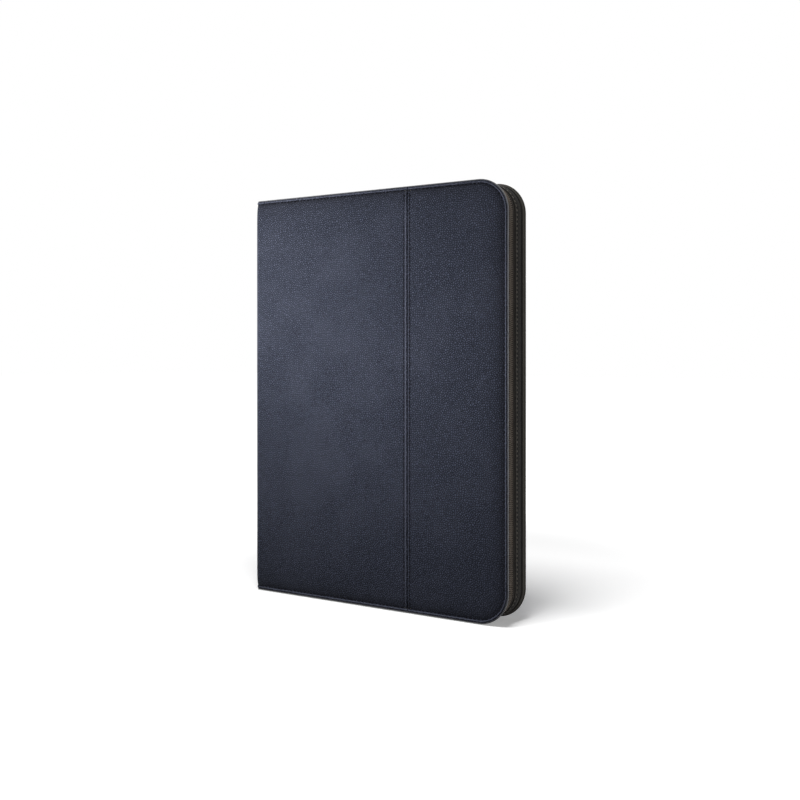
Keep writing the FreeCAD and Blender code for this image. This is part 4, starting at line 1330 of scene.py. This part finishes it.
@dataclass
class Zip:
    """Tapes, coils, stops, slider and pull."""

    outline: Outline
    finishes: Finishes
    tree: CoilTree
    chain_y: float = -5.0
    teeth_x: float = -71.0
    pitch: float = 1.3
    bare: float = 7.0
    coil_inset: float = 3.3
    coil_off: float = 1.15
    coil_part: float = 0.3
    coil_lean: float = 0.1
    wire: float = 0.42
    arch: float = 0.62
    long_turn: float = 2.3
    short_turn: float = 1.75
    tape_x: float = -95.4
    tape_gap: float = 0.4
    tape_inside: float = 4.78
    back_tape: tuple = (
        (4.2, -4.45), (4.2, -3.0), (4.15, -1.9), (3.8, -1.62), (3.2, -1.5), (2.95, -1.2), (2.86, -0.6),
        (2.88, 0.0), (3.05, 0.45), (3.5, 0.9), (4.2, 1.5))
    front_tape: tuple = ((3.1, -8.45), (3.3, -8.36), (3.9, -8.2), (4.2, -7.7), (4.2, -6.6), (4.2, -5.55))

    def tape(self, name: str, run: Run, outer: tuple) -> Piece:
        """A woven tape along a run, with an outer face of insets and places across the case."""
        profile = np.array([*outer, *((self.tape_inside, y) for _, y in outer[::-1])])
        y = profile[:, 1]
        points = run.band(profile)
        side = np.where(np.arange(len(profile)) < len(outer), -1.0, 1.0)
        # Painted shade on the tape where it runs in under the gusset's edge.
        sewn = np.clip((y + 0.5) / 0.6, 0, 0.9)
        patch = Patch()
        patch.grid(points, run.inward[:, None] * side[None, :, None], seam=sewn,
                   run=spread(run.lengths(4.5), y), loop=True)
        for end in (points[0], points[-1]):
            patch.fan(end, np.array([-1.0 if end[0, 0] < 20 else 1.0, 0.0, 0.0]))
        return patch.mesh(name, self.finishes.tape)

    def turns(self, run: Run, y: float, shift: float) -> SewnPath:
        """Coil turns along a run, shifted along it by a share of the pitch."""
        lengths = run.lengths(self.coil_inset)
        marks = np.arange(shift * self.pitch, lengths[-1], self.pitch)
        origin, inward = (np.column_stack([np.interp(marks, lengths, part) for part in parts.T])
                          for parts in (run.origin, run.inward))
        inward /= np.linalg.norm(inward, axis=1)[:, None]
        points = origin + inward * self.coil_inset
        points[:, 1] = y
        return SewnPath(points, -inward)

    def split(self, path: SewnPath, keep: Array) -> list[SewnPath]:
        """The unbroken stretches of a path where a test holds."""
        cuts = np.flatnonzero(np.diff(keep.astype(int))) + 1
        parts = np.split(np.arange(len(keep)), cuts)
        return [SewnPath(path.points[p], path.lie[p]) for p in parts if keep[p[0]] and len(p) > 1]

    def coils(self) -> None:
        """Winds the two coils, which mesh except next to the fold, where their turns are short."""
        o = self.outline
        rim = o.plain_rim(self.teeth_x)
        front = self.turns(rim, self.chain_y - self.coil_off, 0.0)
        back = self.turns(rim, self.chain_y + self.coil_off, 0.5)
        inner = front.points[:, 0] < o.fold_x
        for path, apart in ((front, -self.coil_part), (back, self.coil_part)):
            path.points[np.abs(path.points[:, 0] - o.fold_x) < self.bare, 1] += apart
        groups = (("back", back, True, "back_half", self.coil_lean),
                  ("front_inner", front, inner, "front_inner", -self.coil_lean),
                  ("front_outer", front, ~inner, "front_outer", -self.coil_lean))
        for key, path, here, body, lean in groups:
            beside = np.abs(path.points[:, 0] - o.fold_x) < self.bare
            nodes = ("zip_teeth_" + key, f"zip_teeth_{key}_top")
            for name, keep, reach, hidden in (("zip_coil_", here & ~beside, self.long_turn, nodes),
                                              ("zip_coil_fold_", here & beside, self.short_turn, ())):
                piece = self.tree.wind(name + key, self.split(path, keep), self.finishes.coil, reach,
                                       self.wire, self.arch, lean)
                settle(piece, body, hidden)

    def build(self) -> None:
        """Makes the zip."""
        fold, metal = self.outline.fold_x, self.finishes.metal
        rim = self.outline.plain_rim(self.tape_x)
        settle(self.tape("tape_back", rim, self.back_tape), "back_half", ("zip_tape_back",))
        xs = rim.origin[:, 0]
        outer = rim.part(xs > fold + self.tape_gap)
        settle(self.tape("tape_front_outer", outer, self.front_tape), "front_outer",
               ("zip_tape_front_outer",))
        top = np.arange(len(xs)) < len(xs) // 2
        for label, half in (("top", top), ("bottom", ~top)):
            run = rim.part((xs < fold - self.tape_gap) & half)
            piece = self.tape("tape_front_inner_" + label, run, self.front_tape)
            settle(piece, "front_inner", ("zip_tape_front_inner",))
        self.coils()
        fittings = (("zip_slider", "slider_body", 0.16, 3, "slider"),
                    ("zip_pull", "pull_tab", 0.18, 3, "pull"),
                    ("zip_stops_back", "chain_stops_back", 0.2, 2, "back_half"),
                    ("zip_stops_front", "chain_stops_front", 0.2, 2, "front_inner"))
        for node, name, width, steps, body in fittings:
            settle(rounded_copy(node, name, metal, width, steps), body, (node,))


# What holds the tablet

@dataclass
class Straps:
    """The four elastic corner straps and the rubber rest."""

    finishes: Finishes
    tree: StitchTree
    lining_y: float = -8.5
    width: float = 10.0
    thick: float = 0.8
    cords: int = 9
    cord_rise: float = 0.05
    waist: float = 0.05
    squareness: int = 14
    foot: float = 22.9
    tack_reach: float = 4.2
    tack_rise: float = 0.12
    tacks: int = 5
    half: tuple = (
        (23.7, 0.42), (22.3, 0.42), (21.3, 0.6), (20.7, 1.3), (20.45, 2.7), (20.3, 4.6), (20.0, 6.2),
        (19.1, 7.4), (17.4, 7.9), (13.5, 8.0), (7.0, 8.0), (0.0, 8.0))

    def line(self) -> Array:
        """The strap's middle line: places along the lining and heights over it."""
        half = np.array(self.half)
        ends = np.concatenate([half, half[-2::-1] * np.array([-1.0, 1.0])])
        far = travelled(ends)
        marks = np.linspace(0, far[-1], 97)
        raw = np.column_stack([np.interp(marks, far, ends[:, i]) for i in range(2)])
        for _ in range(3):
            raw[1:-1] = (raw[:-2] + 2 * raw[1:-1] + raw[2:]) / 4
        return raw

    def strap(self, node: str) -> tuple[Piece, list[SewnPath]]:
        """One strap in the place of its CAD node.

        Args:
            node: The CAD node.

        Returns:
            The strap and the stitches that hold its two feet.
        """
        low, high = (np.array(v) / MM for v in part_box(node))
        middle = (low + high) / 2
        rising = ("spine" in node) == ("top" in node)
        along = np.array([1.0, 0.0, 1.0 if rising else -1.0]) / math.sqrt(2)
        over = np.array([0.0, 1.0, 0.0])
        side = np.cross(along, over)
        line = self.line()
        way = np.gradient(line, axis=0)
        way /= np.linalg.norm(way, axis=1)[:, None]
        normal = np.column_stack([way[:, 1], -way[:, 0]])
        shares = np.linspace(-1, 1, 19)
        rib = self.cord_rise * np.cos(shares * self.cords * math.pi)
        edge = np.sqrt(np.clip(1 - np.abs(shares) ** self.squareness, 0, 1))
        top = np.column_stack([shares, (self.thick / 2 + rib) * edge])
        ring = np.concatenate([top, (top * np.array([1.0, -1.0]))[-2:0:-1]])
        waist = 1 - self.waist * np.sin(np.linspace(0, math.pi, len(line)))[:, None]
        base = np.array([middle[0], self.lining_y, middle[2]])
        lift = line[:, None] + normal[:, None] * ring[None, :, 1:]
        points = base + along * lift[..., :1] + over * lift[..., 1:]
        points = points + side * (ring[None, :, 0] * self.width / 2 * waist)[..., None]
        uv = spread(travelled(line), ring[:, 0] * self.width / 2)
        outwards = normal[:, :1] * along + normal[:, 1:] * over
        patch = Patch()
        upper = np.where(np.arange(len(ring)) < len(top), 1.0, -1.0)
        patch.grid(points, outwards[:, None] * upper[None, :, None], run=uv, loop=True)
        patch.fan(points[0], along)
        patch.fan(points[-1], -along)
        feet = []
        for u in (self.foot, -self.foot):
            heel = base + along * u + over * (self.thick + self.tack_rise)
            across = np.linspace(-self.tack_reach, self.tack_reach, self.tacks)[:, None]
            feet.append(SewnPath(heel + side * across, np.tile(over, (self.tacks, 1))))
        return patch.mesh(node.replace("strap", "elastic"), self.finishes.elastic), feet

    def build(self) -> None:
        """Makes the straps, their stitches and the rest."""
        for node, body in (("strap_spine_top", "front_inner"), ("strap_spine_bottom", "front_inner"),
                           ("strap_zip_top", "front_outer"), ("strap_zip_bottom", "front_outer")):
            piece, feet = self.strap(node)
            settle(piece, body, (node,))
            name = node.replace("strap", "tack")
            sewn = self.tree.sew(name, feet, self.finishes.thread_navy, 1.7, 0.5, 0.4)
            settle(sewn, body)
        rest = rounded_copy("tablet_rest", "rest_channel", self.finishes.rubber, 0.32, 3)
        settle(rest, "back_half", ("tablet_rest",))


# Keyboard

@dataclass
class KeyRow:
    """One row of keys: its CAD node, its body and what is printed on it."""

    node: str
    body: str
    legends: tuple[str, ...]


@dataclass
class Keyboard:
    """The keyboard's shell, keys, legends and small fittings."""

    finishes: Finishes
    rows: tuple[KeyRow, ...] = (
        KeyRow("key_row_function", "function_keys",
               ("esc", *(f"F{i}" for i in range(1, 13)), "ins", "del")),
        KeyRow("key_row_number", "number_keys", (*"`1234567890-=", "back")),
        KeyRow("key_row_upper", "upper_keys", ("tab", *"QWERTYUIOP[]", "\\")),
        KeyRow("key_row_home", "home_keys", ("caps", *"ASDFGHJKL;'", "enter")),
        KeyRow("key_row_lower", "lower_keys", ("shift", *"ZXCVBNM,./", "shift", "<up")),
        KeyRow("key_row_bottom", "bottom_keys",
               ("ctrl", "fn", "menu", "alt", "alt", "ctrl", "<left", "<down", "<right")),
        KeyRow("space_bar", "space_key", ("",)),
    )
    radius: float = 1.7
    dish: float = 0.3
    rounded: float = 18.0
    hollow: float = 14.0
    legend_rise: float = 0.03
    letter: float = 4.0
    word: float = 2.5
    arrow: tuple = ((-0.9, -0.6, 0.0), (0.9, -0.6, 0.0), (0.0, 0.9, 0.0))
    levels: tuple = (
        (0.0, 3.25), (0.05, 2.2), (0.28, 1.1), (0.42, 0.72), (0.62, 0.48), (0.9, 0.36), (1.25, 0.31))

    def cells(self, node: str) -> list[tuple[Array, Array]]:
        """The boxes of a row's keys, from the user's left, in millimetres."""
        net = cad_net(node)
        left = set(net.verts)
        boxes = []
        while left:
            stack = [left.pop()]
            found = [stack[0]]
            while stack:
                for e in stack.pop().link_edges:
                    for v in e.verts:
                        if v in left:
                            left.discard(v)
                            stack.append(v)
                            found.append(v)
            co = np.array([v.co for v in found]) / MM
            boxes.append((co.min(axis=0), co.max(axis=0)))
        net.free()
        return sorted(boxes, key=lambda b: b[0][2])

    def ring(self, low: Array, high: Array, inset: float) -> Array:
        """A rounded rectangle in X and Z, at an inset from a key's box."""
        radius = max(self.radius - 0.4 * inset, 0.5)
        reach = inset + radius
        corners = []
        for sx, sz, turn in ((1, 1, 0.0), (-1, 1, 90.0), (-1, -1, 180.0), (1, -1, 270.0)):
            x, z = (high[0] if sx > 0 else low[0]), (high[2] if sz > 0 else low[2])
            for a in np.radians(turn + np.linspace(0, 90, 5)):
                corners.append((x - sx * reach + radius * math.cos(a),
                                z - sz * reach + radius * math.sin(a)))
        return np.array(corners)

    def sag(self, low: Array, high: Array, x: Array, z: Array) -> Array:
        """How far a key's top is hollowed at a place."""
        mid = (low + high) / 2
        u = (x - mid[0]) / (high[0] - low[0]) * 2
        reach = min(high[2] - low[2], self.rounded)
        v = np.clip(np.abs(z - mid[2]) - (high[2] - low[2] - reach) / 2, 0, None) / reach * 2
        return self.dish * np.clip(1 - u * u, 0, 1) * np.clip(1 - v * v, 0, 1)

    def keys(self, row: KeyRow) -> tuple[Piece, Piece | None]:
        """The keys of a row and their legends."""
        patch = Patch()
        marks: list[bpy.types.Mesh] = []
        cells = self.cells(row.node)
        for (low, high), text in zip(cells, row.legends):
            rings = []
            for inset, y in self.levels:
                xz = self.ring(low, high, inset)
                rings.append(np.column_stack([xz[:, 0], np.full(len(xz), y), xz[:, 1]]))
            mid = ((low + high) / 2)[[0, 2]]
            wide = high[2] - low[2] - min(high[2] - low[2], self.hollow)
            pull = rings[-1][:, [0, 2]] - mid
            keep = np.clip(pull[:, 1], -wide / 2, wide / 2)
            for share in (0.75, 0.5, 0.25, 0.0):
                x, z = np.array([pull[:, 0] * share, keep + (pull[:, 1] - keep) * share]) + mid[:, None]
                rings.append(np.column_stack([x, self.levels[-1][1] + self.sag(low, high, x, z), z]))
            patch.grid(np.stack(rings), np.array([0.0, -1.0, 0.0]), loop=True)
            if text:
                marks.append(self.legend(text, low, high))
        name = row.node.replace("key_row", "keycaps").replace("space_bar", "keycap_space")
        caps = patch.mesh(name, self.finishes.keycap)
        return caps, self.joined(name.replace("keycaps", "legends"), marks) if marks else None

    def legend(self, text: str, low: Array, high: Array) -> bpy.types.Mesh:
        """One printed legend, laid in its key's hollow."""
        if text.startswith("<"):
            turn = 90.0 * ("<up", "<left", "<down", "<right").index(text)
            data = bpy.data.meshes.new("arrow")
            data.from_pydata(self.arrow, [], [(0, 1, 2)])
            data.transform(Matrix.Rotation(math.radians(turn), 4, "Z"))
        else:
            curve = bpy.data.curves.new("legend", "FONT")
            curve.body = text
            curve.size = self.word if len(text) > 1 else self.letter
            curve.resolution_u = 3
            curve.align_x, curve.align_y = "CENTER", "CENTER"
            holder = bpy.data.objects.new("legend", curve)
            bpy.context.scene.collection.objects.link(holder)
            graph = bpy.context.evaluated_depsgraph_get()
            data = bpy.data.meshes.new_from_object(holder.evaluated_get(graph))
            bpy.data.objects.remove(holder)
            bpy.data.curves.remove(curve)
        mid = (low + high) / 2
        co = np.zeros(len(data.vertices) * 3, np.float32)
        data.vertices.foreach_get("co", co)
        flat = co.reshape(-1, 3)
        x, z = mid[0] - flat[:, 1], mid[2] + flat[:, 0]
        y = self.levels[-1][1] + self.sag(low, high, x, z) - self.legend_rise
        data.vertices.foreach_set("co", (np.column_stack([x, y, z]) * MM).astype(np.float32).ravel())
        data.update()
        return data

    def joined(self, name: str, parts: list[bpy.types.Mesh]) -> Piece:
        """Some meshes as one piece."""
        net = bmesh.new()
        for part in parts:
            net.from_mesh(part)
            bpy.data.meshes.remove(part)
        flip = [f for f in net.faces if f.normal.y > 0]
        bmesh.ops.reverse_faces(net, faces=flip)
        data = bpy.data.meshes.new(name)
        net.to_mesh(data)
        net.free()
        data.materials.clear()
        data.materials.append(self.finishes.ink)
        return linked(name, data)

    def build(self) -> None:
        """Makes the keyboard."""
        f = self.finishes
        for row in self.rows:
            caps, marks = self.keys(row)
            settle(caps, row.body, (row.node,))
            if marks:
                settle(marks, row.body)
        fittings = (("keyboard_base", "tray", f.shell, 0.5, "keyboard_shell", "back_half"),
                    ("keyboard_frame", "key_surround", f.shell, 0.22, "keyboard_shell", "back_half"),
                    ("charge_socket", "socket_shell", f.socket, 0.15, "socket_steel", "back_half"),
                    ("power_switch", "knob", f.knob, 0.2, "switch_plastic", "switch_knob"))
        for node, name, skin, width, slot, body in fittings:
            settle(rounded_copy(node, name, skin, width), body, (node,))


# What stays as it is in the CAD

def dress_inside(finishes: Finishes) -> None:
    """Gives the CAD nodes that stay a finish for their slot."""
    for name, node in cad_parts.items():
        if node.hide_render:
            continue
        slot = node.data.materials[0].name.split(".")[0]
        skin = finishes.inside.get(slot)
        if skin is None:
            LOG.warning("%s has no finish for %s", name, slot)
            continue
        node.material_slots[0].material = skin
        LOG.info("%s: finish %s", name, skin.name)


# Studio

class Reach(Enum):
    """What a lamp lights, as the state of the floor in the group that takes its light."""

    ALL = ""
    FLOOR = "INCLUDE"
    CASE = "EXCLUDE"


@dataclass(frozen=True)
class Lamp:
    """A soft box: where it stands, what it looks at, its size, its power and what it lights."""

    name: str
    place: tuple[float, float, float]
    aim: tuple[float, float, float]
    size: tuple[float, float]
    watts: float
    reach: Reach = Reach.ALL


@dataclass
class Studio:
    """Floor, soft light and the photograph's camera."""

    eye: tuple[float, float, float] = (0.37628, -0.57358, 0.16737)
    yaw: float = 32.295
    lens: float = 46.35
    shift_y: float = -0.05887
    sky: float = 0.04
    floor_size: float = 6.0
    floor_pale: float = 0.92
    floor_bounce: float = 0.07
    floor_glow: float = 0.23
    floor_middle: tuple[float, float, float] = (-0.02, 0.12, 0.0)
    floor_round: tuple[float, float] = (0.13, 0.4)
    key: Lamp = Lamp("key_left", (-1.05, -0.95, 0.55), (-0.08, 0.0, 0.203), (0.1, 0.1), 156.0, Reach.CASE)
    key_spread: float = 13.8
    lamps: tuple[Lamp, ...] = (
        Lamp("overhead", (0.14, -0.33, 1.2), (0.05, 0.02, 0.0), (0.34, 0.44), 5.0),
        Lamp("shadow", (0.02, -0.4, 1.2), (0.05, 0.02, 0.0), (0.5, 0.44), 10.0, Reach.FLOOR),
        Lamp("side_right", (0.95, 0.12, 0.17), (0.1, 0.0, 0.14), (0.4, 0.3), 2.8),
        Lamp("behind", (-0.45, 1.1, 0.45), (0.0, 0.0, 0.14), (0.6, 0.6), 14.0, Reach.CASE),
    )

    def world(self) -> None:
        """A white surround that lights the case softly."""
        world = bpy.data.worlds.new("studio")
        world.use_nodes = True
        n = Nodes(world.node_tree)
        soft = n.tree.nodes["Background"]
        n.put(soft.inputs["Color"], WHITE)
        n.put(soft.inputs["Strength"], self.sky)
        white = n.add("ShaderNodeBackground", {"Color": WHITE, "Strength": 1.0})
        shares = {0: n.seen(), 1: soft.outputs[0], 2: white.outputs[0]}
        both = n.add("ShaderNodeMixShader", shares).outputs[0]
        n.put(n.tree.nodes["World Output"].inputs["Surface"], both)
        bpy.context.scene.world = world

    def floor(self) -> Piece:
        """A plain pale floor that keeps the case's shadow."""
        net = bmesh.new()
        bmesh.ops.create_grid(net, x_segments=8, y_segments=8, size=self.floor_size)
        data = bpy.data.meshes.new("floor")
        net.to_mesh(data)
        net.free()
        n = NodeBoard("floor_white")
        n.tree.nodes.remove(n.shader)
        far = n.add("ShaderNodeVectorMath", {0: n.place, 1: self.floor_middle}, operation="DISTANCE")
        level = n.ramp(far.outputs["Value"], *self.floor_round, self.floor_glow, 1.0)
        glow = n.add("ShaderNodeEmission", {"Strength": level}).outputs[0]
        pale, dull = (n.add("ShaderNodeBsdfDiffuse", {"Color": (tone, tone, tone, 1.0)}).outputs[0]
                      for tone in (self.floor_pale, self.floor_bounce))
        lit = n.add("ShaderNodeAddShader", {0: pale, 1: glow}).outputs[0]
        both = n.add("ShaderNodeMixShader", {0: n.seen(), 1: dull, 2: lit}).outputs[0]
        n.put(n.tree.nodes["Material Output"].inputs["Surface"], both)
        data.materials.append(n.material)
        floor = linked("floor", data)
        return floor

    def hang(self, lamp: Lamp, light: bpy.types.Light, floor: Piece) -> None:
        """Puts a lamp in its place, looking at its aim and out of the camera's sight."""
        light.energy = lamp.watts
        holder = bpy.data.objects.new(lamp.name, light)
        holder.location = lamp.place
        way = Vector(lamp.aim) - Vector(lamp.place)
        holder.rotation_euler = way.to_track_quat("-Z", "Y").to_euler()
        holder.visible_camera = False
        bpy.context.scene.collection.objects.link(holder)
        if lamp.reach is not Reach.ALL:
            group = bpy.data.collections.new(lamp.name + "_reach")
            group.objects.link(floor)
            group.collection_objects[0].light_linking.link_state = lamp.reach.value
            holder.light_linking.receiver_collection = group

    def build(self) -> None:
        """Sets the camera, the lamps, the floor and the surround."""
        scene = bpy.context.scene
        scene.view_settings.view_transform = "Standard"
        lens = bpy.data.cameras.new("photo_camera")
        lens.lens = self.lens
        lens.shift_y = self.shift_y
        camera = bpy.data.objects.new("photo_camera", lens)
        camera.location = self.eye
        camera.rotation_euler = (math.pi / 2, 0.0, math.radians(self.yaw))
        scene.collection.objects.link(camera)
        scene.camera = camera
        floor = self.floor()
        for lamp in self.lamps:
            light = bpy.data.lights.new(lamp.name, "AREA")
            light.shape = "RECTANGLE"
            light.size, light.size_y = lamp.size
            self.hang(lamp, light, floor)
        light = bpy.data.lights.new(self.key.name, "SPOT")
        light.spot_size = math.radians(self.key_spread)
        light.spot_blend = 1.0
        light.shadow_soft_size = self.key.size[0]
        self.hang(self.key, light, floor)
        self.world()


def main() -> None:
    """Builds the case piece by piece, then the studio."""
    logging.basicConfig(level=logging.INFO, format="%(message)s")
    finishes = Finishes()
    outline = Outline()
    stitch = StitchTree()
    covers = Covers(outline, finishes)
    covers.build()
    Sewing(outline, covers, finishes, stitch).build()
    Gusset(outline, finishes, stitch).build()
    Zip(outline, finishes, CoilTree()).build()
    Straps(finishes, stitch).build()
    Keyboard(finishes).build()
    dress_inside(finishes)
    Studio().build()


if __name__ == "__main__":
    main()
